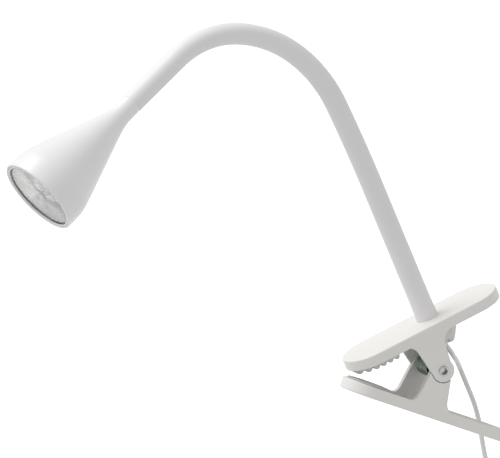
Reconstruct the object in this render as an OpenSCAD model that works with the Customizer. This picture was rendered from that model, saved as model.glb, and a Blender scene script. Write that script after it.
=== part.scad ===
// Clip on reading lamp: a sprung clamp, a flexible neck on a chain of friction joints, a conical
// LED head, and a lead with an in-line rocker switch, a tied coil and a plug-in driver.
// The origin is the middle of the crest plane of the upper grip pad, +Z is the upper jaw's normal,
// +X runs back along the squeeze levers, and the neck arches over towards -X.

/* [Upper jaw] */
// Length of the upper plate, jaw tip to lever end
upper_l = 122; // [118:1:130]
// Width of both plates
plate_w = 42.6; // [41:0.2:46]
// Height of the turned-down side walls
wall_h = 8; // [7:0.5:10]
// Thickness of the side walls and cheeks
wall_t = 2.2; // [1.8:0.2:2.6]
// Thickness of the flat of each plate
top_t = 2.4; // [2:0.2:3]
// Jaw tip to pivot along the upper plate
upper_tip = 58; // [56:1:60]
// Top of the upper plate above the pivot
upper_rise = 33.6; // [32:0.2:36]

/* [Lower jaw] */
// Jaw tip to pivot foot along the lower plate
lower_tip = 60; // [58:1:62]
// Pivot foot to lever end along the lower plate
lower_tail = 76; // [66:1:82]
// Outer face of the lower plate below the pivot
lower_drop = 34.5; // [33:0.5:36]
// Slope of the lower plate when the jaws are closed
rest_tilt = 44; // [43:0.5:46]

/* [Pivot and spring] */
// Outer radius of the tubular rivet
pin_r = 3.15; // [2.8:0.05:3.3]
// Radius of the cheeks' rounded ends
cheek_r = 8.2; // [8:0.1:8.6]
// Mean radius of the spring's turns
spring_r = 6.7; // [6.6:0.1:7]
// Radius of the spring wire
wire_r = 1.1; // [0.9:0.1:1.1]

/* [Neck] */
// Outer radius of the flexible neck
neck_r = 7.65; // [7.2:0.05:8]
// Turn of the neck's plane away from the clamp's own plane
neck_turn = 10; // [0:1:20]
// Lengths of the neck's links from the clamp to the head
link_len = [45, 55, 68, 50, 50, 50, 46];
// Bend along each of those links
link_turn = [0, 0, 3, 28, 32, 42, 0];

/* [Head] */
// Outer radius of the shade's front band
shade_r = 29.4; // [28:0.2:32]
// Length of the shade from the neck seam to the rim
shade_l = 95.5; // [94:0.5:102]
// Depth of the lens below the rim
lens_depth = 1.2; // [1.2:0.1:3]

/* [Lead] */
// Radius of the cord
cord_r = 1.8; // [1.7:0.05:1.9]
// Mean radius of the tied coil
coil_r = 21.5; // [20:0.5:22]
// Length of the in-line switch
switch_l = 46; // [44:1:50]
// Spacing of the plug pins
pin_pitch = 18.6; // [18.6:0.1:19]

/* [Hidden] */
$fn = 64;

eps = 0.01;
half_w = plate_w / 2;
pad_crest = 21.6;                       // crest plane above the pivot
pivot = [39, 0, -pad_crest];
plate_top = upper_rise - pad_crest;
rim_z = plate_top - wall_h;
tip_x = pivot[0] - upper_tip;

// grip pads
pad_l = 31;
pad_inset = 0.6;
rib_n = 6;
rib_pitch = 5.4;
rib_r = 2.1;

// cheeks
leaf_gap = 0.7;
leaf_out = half_w - wall_t - leaf_gap;  // outer face of the lower jaw's leaves
leaf_t = 2.4;
leaf_r = 7.8;
cheek_gap = 0.6;                        // line between the two jaws' flush cheeks
pin_fit = 0.05;

// outlet box under the upper plate, measured from the pivot
box_x0 = 1.2;
box_x1 = 30;
box_half = 10.5;
box_wall = 1.5;
box_floor = 14.8;
knee = [21, 16.2];                      // where its rear wall meets its sloping corner
cover_x1 = 17.9;
cover_t = 2;
notch_x = 12.4;
notch_l = 3.4;
post_x = 11.5;
post_y = 7.2;
post_r = 2;
post_top = 22;
screw_r = 0.9;
screw_head_r = 1.8;
exit_x = 14.1;
grommet_r = 3;
grommet_bore = 2.6;
grommet_flange_r = 3.6;

// neck fixing
neck_x = 9.8;                           // neck axis behind the pivot
stub_r = 4.9;
stub_bore = 3.4;
stub_up = 12;
bore_r = 4.75;                          // bore of the sleeve
dome_bore = bore_r + 0.4;               // wider mouth in each ball, inside the sleeve's wall
core_r = 4.7;
core_bore = 3.3;
ball_r = neck_r - 0.05;
socket_r = neck_r + 0.35;
last_link = len(link_len) - 1;

// head
shade_t = 1.7;
collar_r = 7.4;
cone_slope = 0.332;
cone_start = 14.2;
cone_blend = 3;
band_l = 17;
bezel_w = 1.4;
bezel_h = 0.9;

// springs
coil_pitch = 2.9;
spring_half = 13;
leg_x = 14;
coil_steps = 14;

// lead: route points from the outlet box to the switch, along a smooth curve
lead_route = [[53.1, 0, -5.6], [53.1, 0, -8.6], [53.6, 0, -11.6], [54.5, 0.3, -15],
    [55.8, 1.6, -19.3], [57.3, 5, -24], [60, 12, -30],
    [62.5, 20, -38], [63.5, 23.8, -47], [63.7, 24.5, -58], [63.4, 24.5, -69],
    [61.8, 24.5, -81], [59, 24.5, -93], [56.5, 24.5, -104], [55.2, 24.5, -112], [55, 24.5, -118]];
lead_end = lead_route[len(lead_route) - 1];
switch_bottom = lead_end[2] - switch_l;
section_r = 6;                          // half the coil's thickness across its turns
section_w = 8;                          // half the coil's width along its axis
coil_c = [lead_end[0], lead_end[1], -205];
relief_top = -243;
relief_l = 20;
driver_w = 36;
driver_l = 52;
driver_t = 22;
driver_top = relief_top - relief_l;
face_t = 4;
plug_r = 2;
plug_root_r = 1.4;
plug_l = 19;

// ---- helpers ----

function unit(v) = v / norm(v);

// Catmull-Rom point between route points i and i + 1
function route_point(p, i, t) = let(
        a = p[max(i - 1, 0)], b = p[i], c = p[i + 1], d = p[min(i + 2, len(p) - 1)])
    0.5 * (2 * b + (c - a) * t + (2 * a - 5 * b + 4 * c - d) * t * t
        + (3 * b - a - 3 * c + d) * t * t * t);

function smooth_route(p, steps) = concat(
    [for (i = [0 : len(p) - 2], k = [0 : steps - 1]) route_point(p, i, k / steps)],
    [p[len(p) - 1]]);

// a round tube of radius r swept along path, with ref never parallel to it
module sweep(path, r, ref, sides = 8) {
    n = len(path);
    points = [for (i = [0 : n - 1]) let(
            t = unit(path[min(i + 1, n - 1)] - path[max(i - 1, 0)]),
            u = unit(cross(t, ref)), v = cross(t, u))
        for (k = [0 : sides - 1]) path[i] + r * (cos(360 * k / sides) * u + sin(360 * k / sides) * v)];
    walls = [for (i = [0 : n - 2], k = [0 : sides - 1]) let(j = (k + 1) % sides)
        [i * sides + k, i * sides + j, (i + 1) * sides + j, (i + 1) * sides + k]];
    start = [for (k = [sides - 1 : -1 : 0]) k];
    finish = [for (k = [0 : sides - 1]) (n - 1) * sides + k];
    polyhedron(points, concat([start], walls, [finish]), convexity = 6);
}

module pill(x0, x1, w, h) {
    r = w / 2;
    linear_extrude(h) union() {
        translate([x0 + r, -r]) square([x1 - x0 - w, w]);
        for (x = [x0 + r, x1 - r]) translate([x, 0]) circle(r);
    }
}

// the concave corner between a cheek's side and the rim
module fillet(r) {
    difference() {
        translate([-1, -1]) square(r + 1);
        translate([r, r]) circle(r);
    }
}

// a cheek seen from its side: a round end at the pivot that widens to the rim of its plate
module cheek_outline(r, rear_top, front, rear, rim, front_fillet, rear_fillet, root) {
    circle(r);
    polygon([[-r + 0.1, 0], [rear_top, 0], [rear, rim], [rear, rim + root],
        [-front, rim + root], [-front, rim]]);
    translate([rear, rim]) mirror([0, 1]) fillet(rear_fillet);
    translate([-front, rim]) rotate(180) fillet(front_fillet);
}

module upper_outline() {
    cheek_outline(cheek_r, 7.2, 12.9, 9.4, upper_rise - wall_h, 7.5, 11, wall_h - 1);
}

module lower_outline(r) {
    mirror([0, 1]) cheek_outline(r, 6, 12, 12.4, lower_drop - wall_h, 6.5, 9, wall_h - 1);
}

module cross_plate(y0, y1) {
    translate([0, y1, 0]) rotate([90, 0, 0]) linear_extrude(y1 - y0) children();
}

module at_pivot() { translate(pivot) children(); }

module at_lower() { translate(pivot) rotate([0, rest_tilt, 0]) children(); }

// ---- upper clamp ----

// side view of the outlet box, drawn in by inset: a flat floor, a sloping corner and a rear wall
module box_outline(inset, top) {
    low = box_floor - cover_t + inset;
    polygon([[box_x0 + inset, low], [cover_x1 + 0.5 - inset / 2, low],
        [knee[0] - inset, knee[1] + inset / 3], [box_x1 - 1.25 * inset, top], [box_x0 + inset, top]]);
}

// the notch in the outlet box's near lower edge
module outlet_notch() {
    translate([notch_x, -box_half - 1, 0]) cube([notch_l, box_wall + 1, box_floor + 0.6]);
}

module outlet_box() {
    top = upper_rise - top_t;
    difference() {
        cross_plate(-box_half, box_half) box_outline(0, top + eps);
        difference() {
            cross_plate(box_wall - box_half, box_half - box_wall) box_outline(box_wall, top);
            for (s = [-1, 1]) translate([post_x, s * post_y, 0]) cylinder(h = post_top, r = post_r);
        }
        for (s = [-1, 1]) translate([post_x, s * post_y, box_floor - 1]) cylinder(h = 7, r = screw_r);
        translate([box_x0 - 1, -box_half - 1, 0])
            cube([cover_x1 + pin_fit - box_x0 + 1, 2 * box_half + 2, box_floor]);
        outlet_notch();
    }
}

module upper_jaw() color("white") difference() {
    union() {
        difference() {
            translate([0, 0, rim_z]) pill(tip_x, tip_x + upper_l, plate_w, wall_h);
            translate([0, 0, rim_z - 1])
                pill(tip_x + wall_t, tip_x + upper_l - wall_t, plate_w - 2 * wall_t, wall_h - top_t + 1);
        }
        at_pivot() outlet_box();
        at_pivot() for (y = [half_w - wall_t, -half_w]) cross_plate(y, y + wall_t)
            upper_outline();
    }
    at_pivot() rotate([90, 0, 0]) cylinder(h = plate_w + 2, r = pin_r + pin_fit, center = true);
    translate([pivot[0] + neck_x, 0, plate_top - 4]) cylinder(h = 5, r = stub_r + 0.1);
}

module upper_grip_pad() color("lightgray") {
    front = tip_x + wall_t + pad_inset;
    top = plate_top - top_t;
    intersection() {
        translate([0, 0, -1]) pill(front, front + 90, plate_w - 2 * wall_t - 2 * pad_inset, top + 1);
        union() {
            translate([front - 1, -half_w, rib_r + 0.8]) cube([pad_l + 1, plate_w, top - rib_r - 0.8]);
            for (i = [0 : rib_n - 1]) translate([-14 + rib_pitch * i, 0, rib_r]) {
                rotate([90, 0, 0]) cylinder(h = plate_w, r = rib_r, center = true);
                translate([-rib_r, -half_w, 0]) cube([2 * rib_r, plate_w, 2]);
            }
        }
    }
}

module outlet_cover() color("white") at_pivot() difference() {
    translate([box_x0, -box_half, box_floor - cover_t]) cube([cover_x1 - box_x0, 2 * box_half, cover_t]);
    translate([exit_x, 0, box_floor - cover_t - 1]) cylinder(h = cover_t + 2, r = grommet_r + pin_fit);
    for (s = [-1, 1]) translate([post_x, s * post_y, box_floor - cover_t - 1])
        cylinder(h = cover_t + 2, r = screw_r + 0.1);
    outlet_notch();
}

module cover_screw(s) color("silver") at_pivot() translate([post_x, s * post_y, box_floor - cover_t]) {
    translate([0, 0, -1.2]) cylinder(h = 1.2, r = screw_head_r);
    translate([0, 0, -0.1]) cylinder(h = cover_t + 5, r = screw_r - pin_fit);
}
module cover_screw_1() cover_screw(-1);
module cover_screw_2() cover_screw(1);

module pivot_pin() color("silver") at_pivot() rotate([90, 0, 0]) difference() {
    cylinder(h = plate_w + 1.6, r = pin_r, center = true);
    for (s = [-1, 1]) translate([0, 0, s * half_w]) cylinder(h = 16, r = pin_r - 0.9, center = true);
}

module spring_bush() color("dimgray") at_pivot() rotate([90, 0, 0]) difference() {
    cylinder(h = 2 * (leaf_out - leaf_t) - 0.6, r = spring_r - wire_r - 0.4, center = true);
    cylinder(h = plate_w, r = pin_r + pin_fit, center = true);
}

// the angle round the coil at which a leg to [x, z] leaves it
function leg_angle(x, z) = atan2(z, x) + acos(spring_r / norm([x, z]));

function helix_point(angle, y) = [spring_r * cos(angle), y, spring_r * sin(angle)];

module spring_coil() color("darkslategray") at_pivot() {
    leg = [leg_x, spring_half, upper_rise - top_t - wire_r - 0.1];
    a1 = leg_angle(leg[0], leg[2]);
    turns = floor((2 * spring_half) / coil_pitch) - 1;
    y0 = spring_half - coil_pitch * turns;
    steps = turns * coil_steps;
    path = [for (k = [0 : steps])
        helix_point(a1 + 360 * turns * (1 - k / steps), y0 + coil_pitch * turns * k / steps)];
    sweep(concat(path, [leg]), wire_r, [0, 1, 0]);
}

module neck_stub() color("silver") translate([pivot[0] + neck_x, 0, plate_top]) difference() {
    translate([0, 0, -10.5]) cylinder(h = 10.5 + stub_up, r = stub_r - pin_fit);
    translate([0, 0, -11]) cylinder(h = 12 + stub_up, r = stub_bore);
}

module neck_washer() color("silver") translate([pivot[0] + neck_x, 0, plate_top - top_t - 0.8])
    difference() {
        cylinder(h = 0.8, r = 6.4);
        translate([0, 0, -1]) cylinder(h = 3, r = stub_r + pin_fit);
    }

module neck_nut() color("silver") translate([pivot[0] + neck_x, 0, plate_top - top_t - 4.8])
    difference() {
        rotate(30) cylinder(h = 4, r = 6.6, $fn = 6);
        translate([0, 0, -1]) cylinder(h = 6, r = stub_r);
    }

module cord_grommet() color("gray") at_pivot() translate([exit_x, 0, box_floor - cover_t])
    difference() {
        union() {
            cylinder(h = cover_t + 0.8, r = grommet_r);
            translate([0, 0, -0.8]) cylinder(h = 0.8, r = grommet_flange_r);
        }
        translate([0, 0, -2]) cylinder(h = 8, r = grommet_bore);
    }

module wire_joint() color("ivory") at_pivot() translate([4, -4, 16]) cube([14, 8, 5]);

// ---- neck ----

// a bent or straight tube from the origin up +Z, leaning over towards +X
module link_tube(len, turn, outer, inner) {
    bend = turn == 0 ? 0 : len / (turn * PI / 180);
    if (turn == 0) difference() {
        cylinder(h = len, r = outer);
        translate([0, 0, -1]) cylinder(h = len + 2, r = inner);
    } else translate([bend, 0, 0]) rotate([90, 0, 0]) mirror([1, 0, 0]) rotate_extrude(angle = turn)
        translate([bend, 0]) difference() {
            circle(outer);
            circle(inner);
        }
}

function link_end(i) = let(turn = link_turn[i], bend = link_len[i] / (max(turn, eps) * PI / 180))
    turn == 0 ? [0, 0, link_len[i]] : [bend * (1 - cos(turn)), 0, bend * sin(turn)];

module link_tip(i) { translate(link_end(i)) rotate([0, link_turn[i], 0]) children(); }

module at_link(i) {
    if (i == 0) translate([pivot[0] + neck_x, 0, plate_top]) rotate([0, 0, 180 + neck_turn]) children();
    else at_link(i - 1) link_tip(i - 1) children();
}

module at_head() { at_link(last_link) link_tip(last_link) children(); }

module neck_sleeve(i) color("white") at_link(i) difference() {
    union() {
        link_tube(link_len[i], link_turn[i], neck_r, bore_r);
        if (i < last_link) link_tip(i) rotate_extrude() intersection() {
            circle(ball_r);
            translate([dome_bore, -0.5]) square(20);
        }
    }
    if (i > 0) sphere(socket_r);
    if (i == 0) translate([0, 0, -1]) cylinder(h = stub_up + 1, r = stub_r + pin_fit);
}

module neck_core(i) color("gray") at_link(i) difference() {
    link_tube(link_len[i], link_turn[i], core_r, core_bore);
    if (i > 0) sphere(socket_r);
    if (i == 0) translate([0, 0, -1]) cylinder(h = stub_up + 1.2, r = neck_r);
}

module neck_sleeve_0() neck_sleeve(0);
module neck_sleeve_1() neck_sleeve(1);
module neck_sleeve_2() neck_sleeve(2);
module neck_sleeve_3() neck_sleeve(3);
module neck_sleeve_4() neck_sleeve(4);
module neck_sleeve_5() neck_sleeve(5);
module neck_sleeve_6() neck_sleeve(6);
module neck_core_0() neck_core(0);
module neck_core_1() neck_core(1);
module neck_core_2() neck_core(2);
module neck_core_3() neck_core(3);
module neck_core_4() neck_core(4);
module neck_core_5() neck_core(5);
module neck_core_6() neck_core(6);

// ---- head ----

// outer radius of the shade at s from the seam: a collar that flows into a cone, then a band
function cone_r(s) = collar_r + cone_slope * cone_blend * ln(1 + exp((s - cone_start) / cone_blend));

module shade() color("white") at_head() {
    band_s = shade_l - band_l;
    stations = [for (s = [0 : 4 : 28]) s];
    outer = [for (s = stations) [cone_r(s), s]];
    inner = [for (k = [len(stations) - 1 : -1 : 0]) [cone_r(stations[k]) - shade_t, stations[k]]];
    cone_end = cone_r(band_s - 3);
    rotate_extrude() polygon(concat(outer,
        [[cone_end, band_s - 3], [shade_r - 0.7, band_s - 0.5], [shade_r, band_s + 2.5],
        [shade_r, shade_l - 0.6], [shade_r - 0.6, shade_l], [shade_r - shade_t, shade_l],
        [shade_r - shade_t, band_s + 2.5], [cone_end - shade_t, band_s - 3]], inner));
}

lens_s = shade_l - lens_depth;
board_s = 66;
lens_r = shade_r - shade_t - 0.15;

module heat_sink() color("silver") at_head() difference() {
    translate([0, 0, board_s - 12]) cylinder(h = 12, r1 = 16, r2 = 19.4);
    for (i = [-3 : 3]) translate([i * 5 - 1.4, -25, board_s - 13]) cube([2.8, 50, 9]);
    for (s = [-1, 1]) translate([0, s * 14, board_s - 6]) cylinder(h = 8, r = 1.2);
}

module led_board() color("green") at_head() translate([0, 0, board_s]) difference() {
    cylinder(h = 1.6, r = 18);
    for (s = [-1, 1]) translate([0, s * 14, -1]) cylinder(h = 4, r = 1.3);
}

module board_screw(s) color("silver") at_head() translate([0, s * 14, board_s]) {
    translate([0, 0, 1.6]) cylinder(h = 1.4, r = 2.2);
    translate([0, 0, -5]) cylinder(h = 6.7, r = 1.15);
}
module board_screw_1() board_screw(-1);
module board_screw_2() board_screw(1);

module led_chip() color("gold") at_head() translate([0, 0, board_s + 1.6]) {
    cylinder(h = 0.8, r = 5);
    cylinder(h = 1.6, r = 3.4);
}

module reflector() color("silver") at_head() {
    low = board_s + 3.4;
    rotate_extrude() polygon([[6.6, low], [lens_r - 1.2, lens_s - 2.2], [lens_r, lens_s - 2.2],
        [lens_r, lens_s - 3.2], [7.4, low]]);
}

module lens() color("lightblue", 0.6) at_head()
    translate([0, 0, lens_s - 2.2]) cylinder(h = 2.2, r = lens_r);

module bezel() color("white") at_head() translate([0, 0, lens_s]) difference() {
    cylinder(h = bezel_h, r = lens_r);
    translate([0, 0, -1]) cylinder(h = 6, r = lens_r - bezel_w);
}

// ---- lower clamp ----

module lower_jaw() color("white") at_lower() difference() {
    base = -lower_drop;
    rim = base + wall_h;
    union() {
        difference() {
            translate([0, 0, base]) pill(-lower_tip, lower_tail, plate_w, wall_h);
            translate([0, 0, base + top_t])
                pill(wall_t - lower_tip, lower_tail - wall_t, plate_w - 2 * wall_t, wall_h);
        }
        for (y = [leaf_out - leaf_t, -leaf_out]) cross_plate(y, y + leaf_t) lower_outline(leaf_r);
        for (y = [leaf_out - eps, -half_w]) cross_plate(y, y + half_w - leaf_out + eps) difference() {
            lower_outline(leaf_r);
            circle(cheek_r + cheek_gap);
            rotate(rest_tilt) polygon([[-cheek_r - cheek_gap, -1], [20, -1], [20, 30],
                [-13.5 - cheek_gap, 30]]);
        }
    }
    rotate([90, 0, 0]) cylinder(h = plate_w + 2, r = pin_r + pin_fit, center = true);
}

module lower_grip_pad() color("gray") at_lower() {
    front = -lower_tip + wall_t + pad_inset;
    base = -lower_drop + top_t;
    intersection() {
        translate([0, 0, base])
            pill(front, front + 90, plate_w - 2 * wall_t - 2 * pad_inset, wall_h - top_t + 1.6);
        translate([front - 1, -half_w, base]) cube([pad_l + 1, plate_w, wall_h]);
    }
}

module spring_leg() color("darkslategray") at_lower() {
    foot = [leg_x, -spring_half, -lower_drop + top_t + wire_r + 0.1];
    a1 = -leg_angle(foot[0], -foot[2]);
    part_turn = 0.8;
    steps = 11;
    path = [for (k = [0 : steps]) let(t = part_turn * (1 - k / steps))
        helix_point(a1 - 360 * t, coil_pitch * t - spring_half)];
    sweep(concat(path, [foot]), wire_r, [0, 1, 0]);
}

// ---- lead ----

module cord_lead() color("white") sweep(smooth_route(lead_route, 2), cord_r, [1, 0, 0]);

module cord_mid() color("white")
    sweep([[lead_end[0], lead_end[1], switch_bottom],
        [lead_end[0], lead_end[1], coil_c[2] + coil_r + section_r]], cord_r, [1, 0, 0]);

module cord_end() color("white")
    sweep([[lead_end[0], lead_end[1], coil_c[2] - coil_r - section_r],
        [lead_end[0], lead_end[1], relief_top]], cord_r, [1, 0, 0]);

module coil_section(grow) {
    r = 4;
    a = section_r + grow;
    b = section_w + grow;
    translate([coil_r, 0]) {
        square([2 * (a - r), 2 * b], center = true);
        square([2 * a, 2 * (b - r)], center = true);
        for (x = [-1, 1], y = [-1, 1]) translate([x * (a - r), y * (b - r)]) circle(r);
    }
}

module cord_coil() color("white") translate(coil_c) rotate([90, 0, 0]) rotate_extrude() coil_section(0);

module coil_tie() color("black") translate(coil_c) rotate([90, 0, 0]) rotate(118)
    rotate_extrude(angle = 16) difference() {
        coil_section(1.2);
        coil_section(0);
    }

module at_switch() { translate([lead_end[0], lead_end[1], switch_bottom]) children(); }

switch_w = 21;
switch_half_t = 7;
rocker_l = 13;
rocker_w = 10;
rocker_r = 9.5;
rocker_z = switch_l / 2;
rocker_tilt = 8;
axle_y = -3;
axle_r = 0.8;
axle_l = 19;

module rocker_line() { translate([0, axle_y, rocker_z]) rotate([0, 90, 0]) children(); }

// half of the rounded switch housing, from y = 0 towards -Y
module switch_half() {
    r = 6;
    rotate([90, 0, 0]) linear_extrude(switch_half_t) union() {
        translate([-switch_w / 2, r]) square([switch_w, switch_l - 2 * r]);
        translate([r - switch_w / 2, 0]) square([switch_w - 2 * r, switch_l]);
        for (x = [-1, 1], z = [r, switch_l - r]) translate([x * (switch_w / 2 - r), z]) circle(r);
    }
}

module switch_base() color("white") at_switch() mirror([0, 1, 0]) difference() {
    switch_half();
    translate([-switch_w / 2 + 2, -switch_half_t + 2, 7]) cube([switch_w - 4, switch_half_t, switch_l - 14]);
}

module switch_cover() color("white") at_switch() difference() {
    switch_half();
    translate([-switch_w / 2 + 2, -switch_half_t + 2, 7]) cube([switch_w - 4, switch_half_t, switch_l - 14]);
    translate([-rocker_w / 2 - 0.4, -switch_half_t - 1, rocker_z - rocker_l / 2 - 1])
        cube([rocker_w + 0.8, 4, rocker_l + 2]);
    rocker_line() cylinder(h = axle_l + 0.2, r = axle_r + 0.02, center = true);
}

module rocker_axle() color("silver") at_switch()
    rocker_line() cylinder(h = axle_l, r = axle_r, center = true);

// the rocker: a dished bar whose low end is pressed in
module switch_rocker() color("white") at_switch() translate([0, axle_y, rocker_z]) rotate([-rocker_tilt, 0, 0])
    rotate([0, 90, 0]) difference() {
        linear_extrude(rocker_w, center = true) difference() {
            translate([-rocker_l / 2, -5.6]) square([rocker_l, 7]);
            translate([0, -rocker_r - 4.6]) circle(rocker_r);
        }
        cylinder(h = rocker_w + 2, r = axle_r + pin_fit, center = true);
    }

module driver_body() color("white") {
    r = 5;
    x = driver_w / 2 - r;
    translate([lead_end[0], lead_end[1] - driver_t / 2, driver_top - driver_l])
        translate([0, driver_t, 0]) rotate([90, 0, 0]) linear_extrude(driver_t) union() {
            translate([-driver_w / 2, r]) square([driver_w, driver_l - 2 * r]);
            translate([-x, 0]) square([2 * x, driver_l]);
            for (s = [-1, 1], z = [r, driver_l - r]) translate([s * x, z]) circle(r);
        }
}

module driver_face() color("white") difference() {
    translate([lead_end[0] - driver_w / 2 + 1.5, lead_end[1] + driver_t / 2, driver_top - driver_l + 1.5])
        cube([driver_w - 3, face_t, driver_l - 3]);
    for (s = [-1, 1]) at_plug(s) translate([0, 0, -1]) cylinder(h = face_t + 2, r = plug_root_r);
}

module driver_relief() color("white") translate([lead_end[0], lead_end[1], driver_top])
    cylinder(h = relief_l, r1 = 4, r2 = 2.6);

module at_plug(s) {
    translate([lead_end[0] + s * pin_pitch / 2, lead_end[1] + driver_t / 2, driver_top - driver_l / 2])
        rotate([-90, 0, 0]) children();
}

module plug_pin(s) color("silver") at_plug(s) {
    cylinder(h = face_t + 1, r = plug_root_r);
    translate([0, 0, face_t]) cylinder(h = plug_l - 1, r = plug_r);
    translate([0, 0, face_t + plug_l - 1]) cylinder(h = 1, r1 = plug_r, r2 = plug_r - 0.8);
}
module plug_pin_1() plug_pin(-1);
module plug_pin_2() plug_pin(1);

upper_jaw();
upper_grip_pad();
outlet_cover();
cover_screw_1();
cover_screw_2();
pivot_pin();
spring_bush();
spring_coil();
neck_stub();
neck_washer();
neck_nut();
cord_grommet();
wire_joint();
neck_sleeve_0();
neck_sleeve_1();
neck_sleeve_2();
neck_sleeve_3();
neck_sleeve_4();
neck_sleeve_5();
neck_sleeve_6();
neck_core_0();
neck_core_1();
neck_core_2();
neck_core_3();
neck_core_4();
neck_core_5();
neck_core_6();
shade();
heat_sink();
led_board();
led_chip();
reflector();
lens();
bezel();
board_screw_1();
board_screw_2();
lower_jaw();
lower_grip_pad();
spring_leg();
cord_lead();
cord_mid();
cord_end();
cord_coil();
coil_tie();
switch_base();
switch_cover();
switch_rocker();
rocker_axle();
driver_body();
driver_face();
driver_relief();
plug_pin_1();
plug_pin_2();
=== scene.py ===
"""Clip on reading lamp: a sprung clamp, a flexible neck, a conical LED head and a tied-up lead.

Everything is in metres in the frame's own axes: +Z is the upper jaw's normal, +X runs back along
the squeeze levers, and the neck arches over towards -X.
"""

import logging
import math
from dataclasses import dataclass
from enum import Enum
from typing import Any, Optional, Sequence, Union

import bmesh
import bpy
import numpy as np
from mathutils import Matrix, Vector

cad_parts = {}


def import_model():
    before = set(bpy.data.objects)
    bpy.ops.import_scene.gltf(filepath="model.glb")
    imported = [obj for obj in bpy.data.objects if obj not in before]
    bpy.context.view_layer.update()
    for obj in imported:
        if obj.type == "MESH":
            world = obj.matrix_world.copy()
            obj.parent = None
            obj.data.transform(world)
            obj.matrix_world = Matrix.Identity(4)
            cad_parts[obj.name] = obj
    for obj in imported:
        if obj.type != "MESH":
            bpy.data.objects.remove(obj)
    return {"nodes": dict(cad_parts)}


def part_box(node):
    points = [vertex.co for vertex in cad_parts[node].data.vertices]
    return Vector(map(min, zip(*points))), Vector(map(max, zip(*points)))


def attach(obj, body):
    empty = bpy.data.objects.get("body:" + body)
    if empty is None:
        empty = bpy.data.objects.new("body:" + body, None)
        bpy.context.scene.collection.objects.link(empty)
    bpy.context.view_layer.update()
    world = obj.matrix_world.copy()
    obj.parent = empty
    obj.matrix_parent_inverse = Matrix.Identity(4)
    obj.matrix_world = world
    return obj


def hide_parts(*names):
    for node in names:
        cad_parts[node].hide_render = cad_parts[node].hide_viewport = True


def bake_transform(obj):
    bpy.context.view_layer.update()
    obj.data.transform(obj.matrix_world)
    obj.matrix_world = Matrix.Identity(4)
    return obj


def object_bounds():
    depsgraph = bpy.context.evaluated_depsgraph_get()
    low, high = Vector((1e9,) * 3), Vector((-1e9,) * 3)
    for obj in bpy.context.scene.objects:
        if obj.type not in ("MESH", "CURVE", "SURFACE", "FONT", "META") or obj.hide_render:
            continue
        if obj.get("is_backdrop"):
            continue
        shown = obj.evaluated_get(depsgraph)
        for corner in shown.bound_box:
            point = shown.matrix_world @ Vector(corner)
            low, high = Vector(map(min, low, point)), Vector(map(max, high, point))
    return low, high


LOG = logging.getLogger("reading_lamp")

Number = Union[int, float]
Triple = tuple[float, float, float]

X = np.array([1.0, 0.0, 0.0])
Y = np.array([0.0, 1.0, 0.0])
Z = np.array([0.0, 0.0, 1.0])

JOIN_GAP = 1e-6
WAVE_SCALE = 0.314
EDGE_LAYERS = 6
END_STEPS = 61
STRAIGHT_STEPS = 28


# ---- surfaces ----


def smooth_step(t: np.ndarray) -> np.ndarray:
    """Ease from 0 to 1: 3t^2 - 2t^3, held outside 0 to 1.

    Args:
        t: Any array.

    Returns:
        The eased array.
    """
    t = np.clip(t, 0.0, 1.0)
    return t * t * (3.0 - 2.0 * t)


def signed_power(value: np.ndarray, power: float) -> np.ndarray:
    """The power of a value's size with its sign kept, which rounds a circle out to a box.

    Args:
        value: Any array.
        power: Exponent, below 1 for a squarer outline.

    Returns:
        The array, with its signs.
    """
    return np.sign(value) * np.abs(value) ** power


def arc(centre: Sequence[float], radius: float, start: float, end: float, count: int) -> np.ndarray:
    """Points of an arc in a plane: centre + radius * (cos a, sin a).

    Args:
        centre: Its centre.
        radius: Its radius.
        start: First angle in degrees.
        end: Last angle in degrees.
        count: Number of points.

    Returns:
        An array of count by 2.
    """
    angle = np.radians(np.linspace(start, end, count))
    return np.array(centre) + radius * np.stack([np.cos(angle), np.sin(angle)], axis=1)


def rounded_box(half_x: float, half_y: float, corner: float, per_corner: int = 7) -> np.ndarray:
    """Outline of a rectangle with four round corners, anticlockwise.

    Args:
        half_x: Half its width.
        half_y: Half its height.
        corner: Radius of the corners.
        per_corner: Points in each corner.

    Returns:
        An array of points by 2.
    """
    x, y = half_x - corner, half_y - corner
    corners = [(x, y, 0.0), (-x, y, 90.0), (-x, -y, 180.0), (x, -y, 270.0)]
    return np.concatenate([arc((cx, cy), corner, a, a + 90.0, per_corner) for cx, cy, a in corners])


def smooth_route(points: np.ndarray, steps: int) -> np.ndarray:
    """A Catmull-Rom curve through route points.

    Args:
        points: Route points, n by 3.
        steps: Curve points for each span.

    Returns:
        The curve's points, from the first route point to the last.
    """
    padded = np.concatenate([points[:1], points, points[-1:]])
    a, b, c, d = (padded[i : len(padded) - 3 + i][:, None] for i in range(4))
    t = (np.arange(steps) / steps)[None, :, None]
    square, cube = 2 * a - 5 * b + 4 * c - d, 3 * b - a - 3 * c + d
    curve = 0.5 * (2 * b + (c - a) * t + square * t**2 + cube * t**3)
    return np.concatenate([curve.reshape(-1, 3), points[-1:]])


def path_length(path: np.ndarray) -> float:
    """Length of a path of points."""
    return float(np.linalg.norm(np.diff(path, axis=0), axis=1).sum())


@dataclass(frozen=True)
class Axes:
    """A place with three square directions.

    Attributes:
        origin: The place.
        x: First direction.
        y: Second direction.
        z: Third direction, the axis of a turned piece.
    """

    origin: np.ndarray
    x: np.ndarray
    y: np.ndarray
    z: np.ndarray

    def place(self, local: np.ndarray) -> np.ndarray:
        """Carries points from these axes into the frame: origin + a x + b y + c z.

        Args:
            local: Points, any shape by 3.

        Returns:
            The same points in the frame.
        """
        return self.origin + local @ np.stack([self.x, self.y, self.z])


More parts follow.
